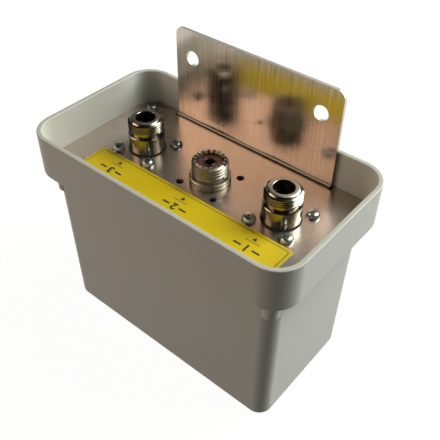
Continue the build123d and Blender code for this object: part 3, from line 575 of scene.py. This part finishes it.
# Aerial and output sockets: brass turned on a lathe, with a 5/8-24 coupling thread, a groove
# under it and a square flange behind the panel, all nickel plated.
nickel, tree, shader, place = blank("nickel_plated_turned_brass", metal)
# Tool marks of about 0.05 mm, drawn 0.2 mm apart so that they show, and stains of 4 mm
stretch = node(tree, "Mapping", {"Scale": (30, 30, 5000)}, {"Vector": place})
tool_marks = node(tree, "TexNoise", {"Scale": 1, "Detail": 2}, {"Vector": stretch})
stain = node(tree, "TexNoise", {"Scale": 240, "Detail": 5}, {"Vector": place})
tone = node(tree, "Mix", {"A": srgb("#948d7f"), "B": srgb("#a8a193")},
            {"Factor": stain}, data_type="RGBA")
matt = node(tree, "MapRange", {"To Min": 0.12, "To Max": 0.27}, {"Value": stain})
bump = node(tree, "Bump", {"Strength": 0.12, "Distance": 0.00002}, {"Height": tool_marks})
plugged(tree, shader, tone, matt, bump)

# Bore: nickel painted dark down the hole as painted shade, and rougher
bore_shade_nickel = mottled("nickel_painted_dark_for_bore_shade", metal, ("#4f4a40", "#6a6458"), (0.3, 0.45), 900, 3)

# Supply socket: die-cast zinc under its nickel, so the plating is duller and lighter
matt_nickel = mottled("matt_nickel_on_cast_zinc", metal, ("#a39c8d", "#b4ad9f"), (0.34, 0.44), 300, 2)

# End faces: tumbled before plating, which leaves them satin
satin_nickel = mottled("satin_nickel_end_face", metal, ("#a0958a", "#b8ada1"), (0.36, 0.46), 1500, 3)

# PTFE is waxy: white, with light under its skin, faintly ringed by the tool at 0.8 mm
ptfe = mottled("machined_ptfe", {"IOR": 1.38, "Subsurface Weight": 0.3,
                "Subsurface Radius": (0.001, 0.001, 0.001)}, ("#e4e2da", "#f0eee8"),
               (0.35, 0.5), 1200, 2)

# Plugs have rubbed the gold in specks of 0.5 mm, some bright and some dull
gold = mottled("hard_gold_plating", metal, ("#d9a93f", "#f0cc70"), (0.15, 0.3), 2000, 3)

socket_y = 4.2
# The screws stand on a square. Behind the panel they go through the sockets' flanges, and the
# back ones through the brackets too. A nut has a width, two ends and a bore
screw_reach = 9.13
screw_corners = [(x, y) for y in (-screw_reach, screw_reach) for x in (-screw_reach, screw_reach)]
m3_nut = (5.5, -2.4, 0, 1.55)
flange_back, bracket_back = -4.0, -5.2
thread_root, thread_crest, thread_pitch = 7.15, 7.8, 25.4 / 24


def hexagon(flats, low, high, bore):
    """A hexagonal nut between two heights, its corners turned down and its bore cut through."""
    nut = eased(rod(flats / math.sqrt(3), low, high, 6), 0.06 * flats, angle=70, segments=3)
    return cut(nut, rod(bore, low - 1, high + 1, 48))


for side, jack_x in (("antenna", antenna_x), ("output", output_x)):
    seat = at(jack_x, socket_y, panel_top)
    outline = [(3.6, -6.0), (4.8, -6.0), (5.0, -5.8), (5.0, -4.0), (8.1, -4.0), (8.1, 8.2),
               (7.9, 8.45), (6.7, 8.5), (6.7, 9.85), (thread_root, 9.95), (thread_root, 14.3),
               (6.95, 14.6), (6.55, 15.15), (6.1, 15.55), (5.6, 15.7), (4.52, 15.7), (4.4, 15.6),
               (4.4, 11.1), (4.0, 11.1), (4.0, 5.0), (3.6, 5.0)]
    body = turned(outline, steps=96)
    # End faces take the satin nickel; the bore takes the nickel painted dark as shade
    for face in body.faces:
        middle = face.calc_center_median()
        reach = math.hypot(middle.x, middle.y)
        if middle.z > 15.5 and reach > 4.5:
            face.material_index = 2
        elif middle.z > 4 and reach < 4.45:
            face.material_index = 1
    add_to(body, thread(thread_root, thread_crest, thread_pitch, 9.92, 4.1, steps=64))
    flange = slab((-12.7, -12.7, -4.0), (12.7, 12.7, -1.5), edge=0.15, upright_edge=1.0)
    drills = rod(7.5, -5.75, 0.25, 32)
    add_to(drills, rod(1.6, -5.75, 0.25, 32), *[at(x, y, 0) for x, y in screw_corners])
    add_to(body, cut(flange, drills))
    piece(f"{side}_socket", body, nickel, bore_shade_nickel, satin_nickel, place=seat,
          replaces=f"{side}_jack_body", slot="nickel_plate")

    # Bead of white PTFE that carries the contact
    bead = turned([(1.53, -6.5), (3.4, -6.5), (3.57, -6.3), (3.57, 5.0), (1.53, 5.0)], steps=48)
    piece(f"{side}_socket_bead", bead, ptfe, place=seat, replaces=f"{side}_jack_insulator", slot="ptfe")

    # Contact: a gold-plated sleeve split into four fingers, with a solder tail behind
    sleeve = turned([(0, -17.5), (0.8, -17.5), (1.0, -17.2), (1.0, -6.5), (1.5, -6.5), (1.5, 9.2),
                     (1.3, 9.5), (0.95, 9.5), (0.85, 9.3), (0.85, 3.5), (0, 3.5)], steps=40,
                    closed=False)
    sleeve = cut(sleeve, copies(slab((-2, -0.15, 5.0), (2, 0.15, 10)), *round_about(2, 45, 90)))
    piece(f"{side}_socket_contact", sleeve, gold, place=seat,
          replaces=f"{side}_jack_contact", slot="gold_contacts")

    # Seal: a moulded rubber ring round the socket's foot
    ring = turned([(8.13, -1.5), (8.45, -1.5), (8.45, 0.4), (8.4, 0.54), (8.29, 0.6), (8.18, 0.54),
                   (8.13, 0.4)], steps=96)
    piece(f"{side}_socket_seal", ring, black_rubber, place=seat,
          replaces=f"{side}_jack_seal", slot="black_rubber")

    # Four M3 screws through panel and flange, and their nuts. The back two hold the bracket too
    turns = (12, 58, 80, 33) if side == "antenna" else (40, 5, 22, 71)
    bm = copies(pan_screw(*m3_screw, length=8.0),
                *[seat @ at(x, y, 0, turn) for (x, y), turn in zip(screw_corners, turns)])
    piece(f"{side}_socket_screws", bm, zinc_steel, replaces=f"{side}_jack_screws", slot="zinc_screws")
    bm = copies(hexagon(*m3_nut),
                *[seat @ at(x, y, bracket_back if y > 0 else flange_back) for x, y in screw_corners])
    piece(f"{side}_socket_nuts", bm, zinc_steel, replaces=f"{side}_jack_nuts", slot="zinc_screws")


# Supply socket: nickel-plated cast zinc with the same thread from foot to rim, eighteen notches
# in its rim, a hexagon behind the panel and a slotted ring nut in front that clamps it. Its
# 24-thread pitch is drawn 1.45 mm wide so that it shows.
power_seat = at(power_x, socket_y, panel_top)
power_root, power_pitch = 6.95, 1.45
outline = [(5.75, -7.0), (6.6, -7.0), (6.8, -6.8), (6.8, -5.0), (7.5, -5.0), (7.5, 3.7),
           (power_root, 3.85), (power_root, 10.0), (7.05, 10.1), (7.05, 10.75), (6.75, 11.2),
           (5.95, 11.2), (5.75, 11.0)]
body = turned(outline, steps=96)
body = cut(body, copies(slab((5.3, -0.65, 10.0), (8.2, 0.65, 12)), *round_about(18, 5, 20)))
add_to(body, thread(power_root, thread_crest, power_pitch, 3.85, 4, steps=64))
add_to(body, hexagon(19.0, -5.0, -2.0, 7.4))
piece("supply_socket", body, matt_nickel, place=power_seat,
      replaces="power_socket_body", slot="nickel_plate")

ring = turned([(7.55, 0), (8.7, 0), (8.9, 0.2), (8.9, 1.35), (8.65, 1.5), (8.65, 1.7), (8.9, 1.85),
               (8.9, 2.95), (8.55, 3.3), (7.7, 3.3), (7.55, 3.15)], steps=96)
ring = cut(ring, copies(slab((8.2, -0.8, -1), (10, 0.8, 4.5)), *round_about(4, 45, 90)))
piece("supply_socket_ring_nut", ring, matt_nickel, place=power_seat,
      replaces="power_socket_ring_nut", slot="nickel_plate")

# Insulator: moulded phenolic, red-brown with darker filler, pressed into the body
phenolic = mottled("moulded_phenolic_brown", {"IOR": 1.6}, ("#3a1410", "#56261f"), (0.25, 0.45), 900, 4)

core = turned([(2.63, -7.5), (5.5, -7.5), (5.72, -7.3), (5.72, 8.9), (5.4, 9.2), (3.4, 9.2),
               (3.1, 8.9), (2.63, 8.9)], steps=72)
piece("supply_socket_core", core, phenolic, place=power_seat,
      replaces="power_socket_insulator", slot="phenolic")

tube = turned([(0, -10.0), (1.0, -10.0), (1.2, -9.8), (1.2, -7.5), (2.6, -7.5), (2.6, 9.1), (2.4, 9.5),
               (2.2, 9.6), (2.05, 9.55), (1.95, 9.4), (1.95, 0.6), (0, 0.6)], steps=48, closed=False)
# Down the contact's bore and round its lip the nickel is painted dark: painted shade in the hole
for face in tube.faces:
    middle = face.calc_center_median()
    face.material_index = 1 if math.hypot(middle.x, middle.y) < 2.3 and middle.z > 0 else 0
tube = cut(tube, copies(slab((-3, -0.3, 4.5), (3, 0.3, 10)), *round_about(2, 39, 90)))
piece("supply_socket_contact", tube, matt_nickel, bore_shade_nickel, place=power_seat,
      replaces="power_socket_contact", slot="nickel_plate")


# Solder tag: a ring of tinned brass under the supply socket's hexagon, its tongue drilled for
# the black lead.
# Tin crystals about 2.4 mm wide are more and less matt, and the rolling leaves it cloudy
tinplate, tree, shader, place = blank("tinned_steel_sheet", metal)
spangle = node(tree, "TexVoronoi", {"Scale": 420}, {"Vector": place})
rolled = node(tree, "TexNoise", {"Scale": 180, "Detail": 4}, {"Vector": place})
tone = node(tree, "Mix", {"A": srgb("#b7b5ae"), "B": srgb("#d0cec7")},
            {"Factor": rolled}, data_type="RGBA")
matt = node(tree, "MapRange", {"To Min": 0.24, "To Max": 0.4}, {"Value": spangle})
plugged(tree, shader, tone, matt)

taken_over("solder_tag", "ground_lug", 0.06, tinplate, "tinplate")

# Brackets: two angles of tinned steel, 1.2 mm thick, held by the sockets' back screws. The board
# is screwed to their feet with four M2.5 screws, whose tips stand out behind.
for side in ("antenna", "output"):
    taken_over(f"{side}_board_bracket", f"{side}_bracket", 0.12, tinplate, "tinplate")

board_front, board_thickness, track_height = 5.2, 1.6, 0.05
screen_u, screen_z, supply_z = 11.0, 43.0, 20.5


def on_board(u, z, turn=0.0, out=0.0):
    """A place on the board's front, or so far out from it, its upright axis pointing outwards."""
    return (Matrix.Translation((power_x + u, board_front, z)) @ Matrix.Rotation(math.pi / 2, 4, "X")
            @ at(0, 0, out, turn))


bm = copies(pan_screw(1.25, 2.2, 1.6, 0.45, length=4.6),
            *[on_board(u, 62, turn)
              for u, turn in ((-43.95, 15), (-29.95, 62), (29.95, 35), (43.95, 80))])
piece("board_pan_screws", bm, zinc_steel, replaces="board_screws", slot="zinc_screws")


# Circuit board: glass-epoxy laminate with green solder mask on both faces, its sawn edge
# straw-coloured. Tracks stand a hair proud under the mask, and the lettering is left off.
glossy_mask = {"IOR": 1.55, "Coat Weight": 0.4, "Coat Roughness": 0.12}
solder_mask, tree, shader, place = blank("green_solder_mask", glossy_mask)
# Glass cloth of 0.5 mm weave, seen faintly through the mask
weave = node(tree, "TexChecker", {"Scale": 2000}, {"Vector": place})
flow = node(tree, "TexNoise", {"Scale": 120, "Detail": 4}, {"Vector": place})
tone = node(tree, "Mix", {"A": srgb("#1c5a34"), "B": srgb("#236b3f")},
            {"Factor": flow}, data_type="RGBA")
matt = node(tree, "MapRange", {"To Min": 0.28, "To Max": 0.42}, {"Value": flow})
bump = node(tree, "Bump", {"Strength": 0.1, "Distance": 0.00002}, {"Height": weave.outputs[1]})
plugged(tree, shader, tone, matt, bump)

# Layers of glass cloth 0.2 mm apart across the edge
laminate = mottled("sawn_glass_epoxy", {"IOR": 1.55}, ("#a8995c", "#cabd86"),
                   (0.55, 0.8), (400, 5000, 400), 2)

bm = merged_copy("circuit_board")
for face in bm.faces:
    face.material_index = 0 if abs(face.normal.y) > 0.9 else 1
piece("printed_board", bm, solder_mask, laminate, replaces="circuit_board", slot="laminate")


def strip(bm, points, width, height, seat):
    """A flat track along straight runs with round ends and corners, laid on the board."""
    for start, end in zip(points, points[1:]):
        start, end = Vector(start), Vector(end)
        run = slab((0, -width / 2, 0), ((end - start).length, width / 2, height))
        angle = math.atan2((end - start).y, (end - start).x)
        add_to(bm, run, seat @ Matrix.Translation((*start, 0)) @ Matrix.Rotation(angle, 4, "Z"))
    add_to(bm, rod(width / 2, 0, height, 16), *[seat @ at(*point, 0) for point in points])


# Over copper the mask is lighter and glossier, and has flowed in patches of about 7 mm
masked_track = mottled("mask_over_copper", glossy_mask, ("#2f8049", "#3c9156"), (0.25, 0.38), 150, 4)

bm = bmesh.new()
front = on_board(0, 0)
supply_runs = (((-46.5, 14.5), (-46.5, 29), (-49.5, 32), (-49.5, 60)),
               ((-41.4, 15), (-34, 15), (-31, 17)), ((-12.5, 17), (-9, 14), (2, 14), (6, 16)),
               ((8, 25), (12, 28), (21, 28), (26, 25)), ((-20, 66), (-10, 66), (-6, 62), (6, 62)),
               ((10, 68), (24, 68), (27, 66)))
for run in supply_runs:
    strip(bm, run, 1.4, track_height, front)
signal_runs = (((-36.9, 67), (-33, 63.5), (-22.5, 63.5), (-20.5, 60.5), (-20.5, 58)),
               ((36.9, 67), (33, 63.5), (20, 63.5), (17, 60.5), (17, 58)),
               ((-31, 33), (-28.5, 33), (-27, 34.5)), ((-31, 36.6), (-28.5, 36.6), (-27, 38)),
               ((15, 44.5), (15, 40), (17, 38)), ((27, 44.5), (27, 40), (29, 38)),
               ((18, 53), (24, 53)), ((30, 53), (36, 53)), ((39, 44.5), (39, 38)),
               ((-14, 41), (-11.5, 41), (-9, 38.5)),
               ((-6, 45), (-3, 48), (1, 48), (3, 46)), ((-10, 50), (-10, 54), (-1, 54)))
for run in signal_runs:
    strip(bm, run, 0.7, track_height, front)
back = on_board(0, 0, out=-board_thickness) @ Matrix.Diagonal((1, 1, -1, 1))
back_bm = bmesh.new()
back_runs = (((-44, 15), (-44, 24), (-38, 30), (-10, 30), (-4, 36), (20, 36)),
             ((-20, 20), (0, 20), (6, 26), (30, 26), (36, 22)),
             ((-30, 50), (-6, 50), (2, 42), (40, 42)), ((-48, 40), (-40, 48), (-40, 54)),
             ((12, 14), (30, 14), (36, 18)))
for run in back_runs:
    strip(back_bm, run, 1.2, track_height, back)
bmesh.ops.recalc_face_normals(back_bm, faces=back_bm.faces)
add_to(bm, back_bm)
piece("board_tracks", bm, masked_track, slot="laminate")

# Solder: bright tin on the joints behind the board, at the socket tails and the leads' ends
solder = mottled("reflowed_tin_solder", metal, ("#b9bbbd", "#d9dadb"), (0.18, 0.34), 1200, 3)


def joint(radius, height):
    """A cone of solder with a hollow flank, standing on height 0, round a wire's end."""
    return turned([(0, height), (0.28 * radius, height), (0.36 * radius, 0.7 * height),
                   (0.55 * radius, 0.35 * height), (radius, 0.06 * height), (radius, 0), (0, 0)],
                  steps=20, closed=False)


behind = [(u, supply_z) for u in (-46.5, -41.4, -6, -3, 3.2, 6.2, 13.8, 19, 25.8)]
behind += [(-31.8, 19.2), (-31.8, 21.8), (-12.2, 19.2), (-12.2, 21.8), (25.8, 18), (25.8, 23.1),
           (-18.8, 45), (-15.2, 45), (-17, 48), (-13, 40), (-9, 40)]
behind += [(15 + 12 * n + dx, 48 + dz) for n in range(3) for dx, dz in ((-3, 0), (3, 0), (0, 3))]
upside_down = Matrix.Rotation(math.pi, 4, "X")
bm = copies(joint(1.1, 1.0), *[on_board(u, z, out=-board_thickness) @ upside_down for u, z in behind])
add_to(bm, joint(1.5, 1.3), on_board(-36.95, 66.5), on_board(36.95, 66.5))
piece("solder_joints", bm, solder, slot="tinplate")

# Component outlines: plain lines of white ink, screen printed on the mask
white_ink = mottled("screen_printed_white_ink", {}, ("#cfd2c8", "#e6e8e0"), (0.5, 0.7), 2500, 3)

bm = bmesh.new()
outlines = ((-50, 15, -38, 26.3), (-33, 16.8, -11, 24.2), (-9.2, 15.8, 9.4, 25.2), (11, 15.1, 21.8, 25.9),
            (27.3, 12.8, 50.8, 28.2), (-27, 28.2, 49, 57.8))
for left, low, right, high in outlines:
    strip(bm, ((left, low), (right, low), (right, high), (left, high), (left, low)), 0.25, 0.03, front)
piece("board_outlines", bm, white_ink, slot="laminate")


# Screen: a frame of 0.5 mm tinplate soldered upright on the board round the amplifier stages,
# with a wall across it, and a push-fit cover with four holes for a tuning tool.
taken_over("screen_frame", "shield_frame", 0.08, tinplate, "tinplate")

cover = eased(merged_copy("shield_cover"), 0.15)
cover_half, dimple_y = 14.6, -4.3
dimple = turned([(0, 0.22), (0.5, 0.16), (0.9, 0), (0, 0)], steps=24, closed=False)
dimples_x = [power_x + screen_u + u for u in (-28, -10, 10, 28)]
add_to(cover, dimple, *[at(x, dimple_y, screen_z + cover_half) for x in dimples_x],
       *[at(x, dimple_y, screen_z - cover_half) @ upside_down for x in dimples_x])
piece("screen_cover", cover, tinplate, rides="cover", replaces="shield_cover", slot="tinplate")


# Trimmers: three blue moulded trimmer capacitors and a gain potentiometer, each with a slotted
# rotor of plated brass that a screwdriver turns through the cover.
# Half gloss, and faintly cloudy over 1.2 mm where the glass filler lies near the skin
blue_plastic = mottled("moulded_blue_polyester", {"IOR": 1.57}, ("#24447c", "#2f5494"),
                       (0.3, 0.45), 800, 3)

for name, node_name in (("trimmer_bodies", "trimmer_stators"),
                        ("gain_control_body", "gain_trimmer_body")):
    taken_over(name, node_name, 0.15, blue_plastic, "trimmer_plastic")

# Pale plating, yellow where tools have worn it through in specks of 0.7 mm
stamped_brass = mottled("plated_stamped_brass", metal, ("#cdbb86", "#e4d8b4"), (0.2, 0.36), 1500, 3)

for node_name, body in (("trimmer_rotor_1", "trimmer_1"), ("trimmer_rotor_2", "trimmer_2"),
                        ("trimmer_rotor_3", "trimmer_3"), ("gain_trimmer_rotor", "gain_screw")):
    taken_over(f"{body}_rotor", node_name, 0.15, stamped_brass, "trimmer_metal", rides=body)


# Filter inductors and supply choke: enamelled copper wire wound on black ferrite, the choke
# with open turns between the two flanges of its core.
# Sintering leaves pores of 0.05 mm, drawn 0.3 mm wide so that they show: dark and dull
ferrite = mottled("sintered_ferrite", {"IOR": 2.2}, ("#26262a", "#3b3b40"),
                  (0.45, 0.65), 3500, 3, relief=(0.3, 0.00004))

# A clear coat over copper: glossy, and redder where it lies thicker, over about 1 mm
enamelled = mottled("enamelled_copper_wire", {**metal, "Coat Weight": 0.8,
                     "Coat Roughness": 0.15}, ("#9c4a22", "#b8602f"),
                    (0.25, 0.35), 900, 2)


def coil(radius, wire, low, turns, steps=36):
    """A close winding of round wire about the upright axis."""
    bm = bmesh.new()
    bmesh.ops.create_circle(bm, segments=10, radius=wire / 2,
                            matrix=Matrix.Translation((radius, 0, low))
                            @ Matrix.Rotation(math.pi / 2, 4, "X"))
    bmesh.ops.spin(bm, geom=bm.verts[:] + bm.edges[:], axis=(0, 0, 1), cent=(0, 0, 0),
                   angle=turns * 2 * math.pi, dvec=(0, 0, wire / steps), steps=turns * steps)
    bmesh.ops.holes_fill(bm, edges=bm.edges, sides=10)
    bmesh.ops.recalc_face_normals(bm, faces=bm.faces)
    return bm


cores = [on_board(screen_u + 4 + 12 * n, screen_z - 7.5) for n in range(3)]
bm = copies(turned([(0, 0.5), (1.3, 0.5), (1.3, 3.6), (0, 3.6)], steps=32, closed=False), *cores)
for low, high in ((0, 0.9), (3.3, 4.2)):
    add_to(bm, slab((-2.5, -2.5, low), (2.5, 2.5, high), edge=0.1, upright_edge=0.6), *cores)
windings = copies(coil(1.75, 0.4, 1.15, 5), *cores)
piece("filter_cores", bm, ferrite, replaces="filter_inductors", slot="ferrite")

choke_at = on_board(16.4, supply_z)
bm = turned([(0, 0), (4.5, 0), (4.6, 0.1), (4.6, 1.1), (4.5, 1.2), (2.6, 1.2), (2.6, 5.6),
             (4.5, 5.6), (4.6, 5.7), (4.6, 6.4), (4.3, 6.85), (3.7, 7.0), (0, 7.0)], steps=64,
            closed=False)
add_to(windings, coil(3.1, 0.7, 1.6, 5), choke_at)
add_to(windings, coil(3.7, 0.7, 1.9, 4), choke_at)
piece("choke_core", bm, ferrite, place=choke_at, replaces="supply_choke", slot="ferrite")
piece("copper_windings", windings, enamelled, slot="ferrite")


# Amplifier chip and voltage regulator: black moulded epoxy. The chip has gull-wing pins of
# tinned copper, and the regulator is bolted flat on its heat sink by its tab.
# The mould's skin of 0.05 mm, drawn 0.25 mm coarse so that it shows: black and matt
epoxy = mottled("black_moulding_epoxy", {"IOR": 1.55}, ("#1b1b1c", "#29292a"),
                (0.5, 0.7), 4000, 2, relief=(0.3, 0.00003))

chip_at = on_board(screen_u - 15, screen_z + 3)
body = slab((-3, -2.5, 0.15), (3, 2.5, 1.7), edge=0.18)
spot = turned([(0, 1.72), (0.35, 1.72), (0.35, 1.6), (0, 1.6)], steps=20, closed=False)
add_to(body, spot, at(-2.3, -1.8, 0))
piece("amplifier_package", body, epoxy, place=chip_at, replaces="amplifier_chip", slot="epoxy")
pin_pitch = 1.27
feet = [turn @ at(pin_pitch * (n - 1.5), 2.5, 0) for turn in round_about(2, 0, 180) for n in range(4)]
bm = bmesh.new()
for near, far, low, high in ((0, 0.5, 0.55, 0.75), (0.35, 0.55, 0, 0.75), (0.4, 1.0, 0, 0.2)):
    add_to(bm, slab((-0.2, near, low), (0.2, far, high)), *feet)
piece("amplifier_pins", bm, solder, place=chip_at, slot="tinplate")

bm = merged_copy("voltage_regulator")
tab_end = power_x + 49.5
for face in bm.faces:
    in_body = tab_end - 15.65 < face.calc_center_median().x < tab_end - 6.35
    face.material_index = 0 if in_body else 1
eased(bm, 0.12)
piece("regulator_package", bm, epoxy, zinc_steel, replaces="voltage_regulator", slot="epoxy")

bm = copies(pan_screw(*m3_screw, length=8.8), on_board(46.7, supply_z, 25, out=2.8))
piece("regulator_pan_screw", bm, zinc_steel, replaces="regulator_screw", slot="zinc_screws")
bm = copies(hexagon(*m3_nut), on_board(46.7, supply_z, out=-board_thickness))
piece("regulator_hex_nut", bm, zinc_steel, replaces="regulator_nut", slot="zinc_screws")


# Heat sink: a channel of extruded aluminium under the regulator, left as it was cut.
# Die lines run along the channel, drawn 0.3 mm apart so that they show: a brushed sheen
extruded = mottled("extruded_aluminium", metal, ("#babcbe", "#d3d5d6"),
                   (0.28, 0.45), (60, 3500, 3500), 2, relief=(0.2, 0.00002))

taken_over("extruded_heat_sink", "heat_sink", 0.12, extruded, "aluminium_sink")


# Terminal block: green moulded polyamide with two wire entries on top and two slotted clamp
# screws in front.
# Half gloss, its green uneven over 1.7 mm from the flow in the mould
green_plastic = mottled("moulded_green_polyamide", {"IOR": 1.53}, ("#2d7c48", "#378f55"),
                        (0.35, 0.5), 600, 3)

taken_over("screw_terminals", "terminal_block", 0.15, green_plastic, "terminal_plastic")
taken_over("clamp_screws", "terminal_screws", 0.08, zinc_steel, "zinc_screws")


# Fuse: a glass tube with nickel-plated end caps and a wire inside, in two spring clips of
# tinned brass.
# Clear and smooth, with a faint waviness every 3 mm from drawing
glass = mottled("drawn_glass_tube", {"IOR": 1.47, "Transmission Weight": 1.0}, ("#e8f2ee", "#ffffff"),
                (0.02, 0.06), 300, 2)

lying = Matrix.Rotation(math.pi / 2, 4, "Y")
fuse_seat = on_board(-22, supply_z, out=3.13) @ lying
bm = turned([(2.1, -9.785), (2.5, -9.785), (2.5, 9.785), (2.1, 9.785)], steps=48)
piece("fuse_glass_tube", bm, glass, place=fuse_seat, replaces="fuse_tube", slot="fuse_glass")
cap = turned([(2.51, 4.5), (2.65, 4.5), (2.7, 4.6), (2.7, 9.8), (2.5, 10.0), (0, 10.0), (0, 9.8),
              (2.51, 9.8)], steps=48, closed=False)
bm = copies(cap, fuse_seat, fuse_seat @ upside_down)
piece("fuse_end_caps", bm, nickel, replaces="fuse_caps", slot="nickel_plate")
bm = turned([(0, -9.7), (0.12, -9.7), (0.12, 9.7), (0, 9.7)], steps=12, closed=False)
piece("fuse_wire", bm, solder, place=fuse_seat, slot="nickel_plate")
taken_over("fuse_spring_clips", "fuse_clips", 0.1, tinplate, "tinplate")


# Electrolytic capacitors: aluminium cans in a dark blue shrunk sleeve with a pale stripe on the
# minus side, the bare top scored with a cross.
# Dark, half gloss and faintly wrinkled over 1.4 mm where it shrank on to the can
sleeve = mottled("shrunk_blue_sleeve", {"IOR": 1.52}, ("#171b2b", "#232a40"), (0.25, 0.4), 700, 3)

can = turned([(0, 0), (3.8, 0), (4.0, 0.3), (4.0, 0.9), (3.85, 1.15), (4.0, 1.4), (4.0, 8.1),
              (3.85, 8.4), (3.3, 8.5), (3.2, 8.3), (0, 8.3)], steps=64, closed=False)
can = cut(can, copies(slab((-2.6, -0.15, 8.15), (2.6, 0.15, 9)), *round_about(2, 0, 90)))
for face in can.faces:
    centre = face.calc_center_median()
    if centre.z > 8.1 and math.hypot(centre.x, centre.y) < 3.2:
        face.material_index = 1
    elif centre.x < -3.7 and centre.z > 1.3:
        face.material_index = 2
bm = copies(can, on_board(-4.5, supply_z), on_board(4.7, supply_z))
piece("sleeved_capacitors", bm, sleeve, extruded, white_ink,
      replaces="electrolytic_capacitors", slot="capacitor_sleeve")


# Surge arrester, coupling capacitor and chip parts: fired ceramic. The arrester has plated end
# caps, the disc is dipped, and the chips have tinned ends.
# Tan lacquer with flecks of 0.4 mm
ceramic = mottled("glazed_ceramic", {"IOR": 1.65}, ("#b08a52", "#c8a56a"), (0.3, 0.5), 2500, 3)

# White and fine grained, drawn at 0.4 mm so that it shows
white_ceramic = mottled("white_alumina", {"IOR": 1.75}, ("#dcd9d0", "#eceae4"), (0.35, 0.5), 2500, 3)

bm = turned([(0, -3.25), (2.5, -3.25), (2.6, -3.15), (2.6, -1.7), (2.45, -1.6), (2.45, 1.6), (2.6, 1.7),
             (2.6, 3.15), (2.5, 3.25), (0, 3.25)], steps=48, closed=False)
for face in bm.faces:
    face.material_index = 0 if abs(face.calc_center_median().z) < 1.62 else 1
piece("gas_arrester", bm, white_ceramic, nickel, place=on_board(42.4, 67.2, out=2.63) @ lying,
      replaces="surge_arrester", slot="ceramic")

bm = turned([(0, 0), (1.9, 0.05), (2.4, 0.5), (2.6, 1.2), (2.4, 1.9), (1.9, 2.3), (0, 2.4)], steps=48,
            closed=False)
piece("dipped_disc_capacitor", bm, ceramic, place=on_board(-42.45, 67.2),
      replaces="coupling_capacitor", slot="ceramic")

chip = slab((-1.0, -0.625, 0), (1.0, 0.625, 0.7), edge=0.08)
bare_half, chip_pitch = 0.62, 3.6
for x in (-bare_half, bare_half):
    bmesh.ops.bisect_plane(chip, geom=chip.verts[:] + chip.edges[:] + chip.faces[:],
                           plane_co=(x, 0, 0), plane_no=(1, 0, 0))
for face in chip.faces:
    face.material_index = 1 if abs(face.calc_center_median().x) > bare_half else 0
chip_places = [on_board(-31, 33 + chip_pitch * n) for n in range(6)]
chip_places += [on_board(screen_u - 18 + chip_pitch * n, 38) for n in range(3)]
chip_places += [on_board(22.95 - chip_pitch * n, 64.2) for n in range(4)]
piece("chip_parts", copies(chip, *chip_places), ceramic, solder,
      replaces="chip_components", slot="ceramic")


# Supply leads: stranded copper in red and black PVC, 1.4 mm across, soldered to the supply
# socket's tail and to the tag, and clamped in the terminal block.
def lead(colour, points, tones):
    """A round insulated wire on a smooth line through the hollow behind the sockets."""
    # Half gloss, dulled by dust in patches of 2 mm
    pvc = mottled(f"{colour}_pvc_insulation", {"IOR": 1.53}, tones, (0.3, 0.45), 500, 3)
    name = f"{colour}_supply_wire"
    line = bpy.data.curves.new(name, "CURVE")
    line.dimensions = "3D"
    line.bevel_depth = 0.0007
    line.bevel_resolution = 5
    line.resolution_u = 16
    line.use_fill_caps = True
    spline = line.splines.new("NURBS")
    spline.points.add(len(points) - 1)
    for point, (x, y, z) in zip(spline.points, points):
        point.co = (x / 1000, y / 1000, z / 1000, 1)
    spline.order_u = 3
    spline.use_endpoint_u = True
    line.materials.append(pvc)
    made = bpy.data.objects.new(name, line)
    bpy.context.scene.collection.objects.link(made)
    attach(made, "chassis")
    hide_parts(f"{colour}_lead")


tag_hole_x = -13.683
red_line = ((power_x, socket_y, 72.0), (power_x, socket_y, 66.8), (-4.2, 2.0, 62.6),
            (-12.5, -0.3, 61.0), (-23.0, -1.5, 59.8), (-33.5, -2.3, 55.0), (-41.0, -3.0, 46.2),
            (-45.2, -2.0, 36.0), (-46.09, 0.2, 24.5))
black_line = ((tag_hole_x, socket_y, 80.25), (tag_hole_x, socket_y, 74.4), (-16.4, 1.6, 68.6),
              (-22.0, -1.3, 63.4), (-30.0, -3.6, 58.6), (-36.6, -5.0, 50.6), (-40.0, -4.4, 40.5),
              (-41.1, -2.2, 32.0), (-41.01, 0.2, 24.5))
lead("red", red_line, ("#a81d16", "#c02a20"))
lead("black", black_line, ("#19191a", "#262627"))
bm = copies(joint(1.3, 1.6), at(power_x, socket_y, 71.6))
add_to(bm, joint(1.2, 1.0), at(tag_hole_x, socket_y, 80.0) @ upside_down)
piece("lead_solder", bm, solder, slot="tinplate")
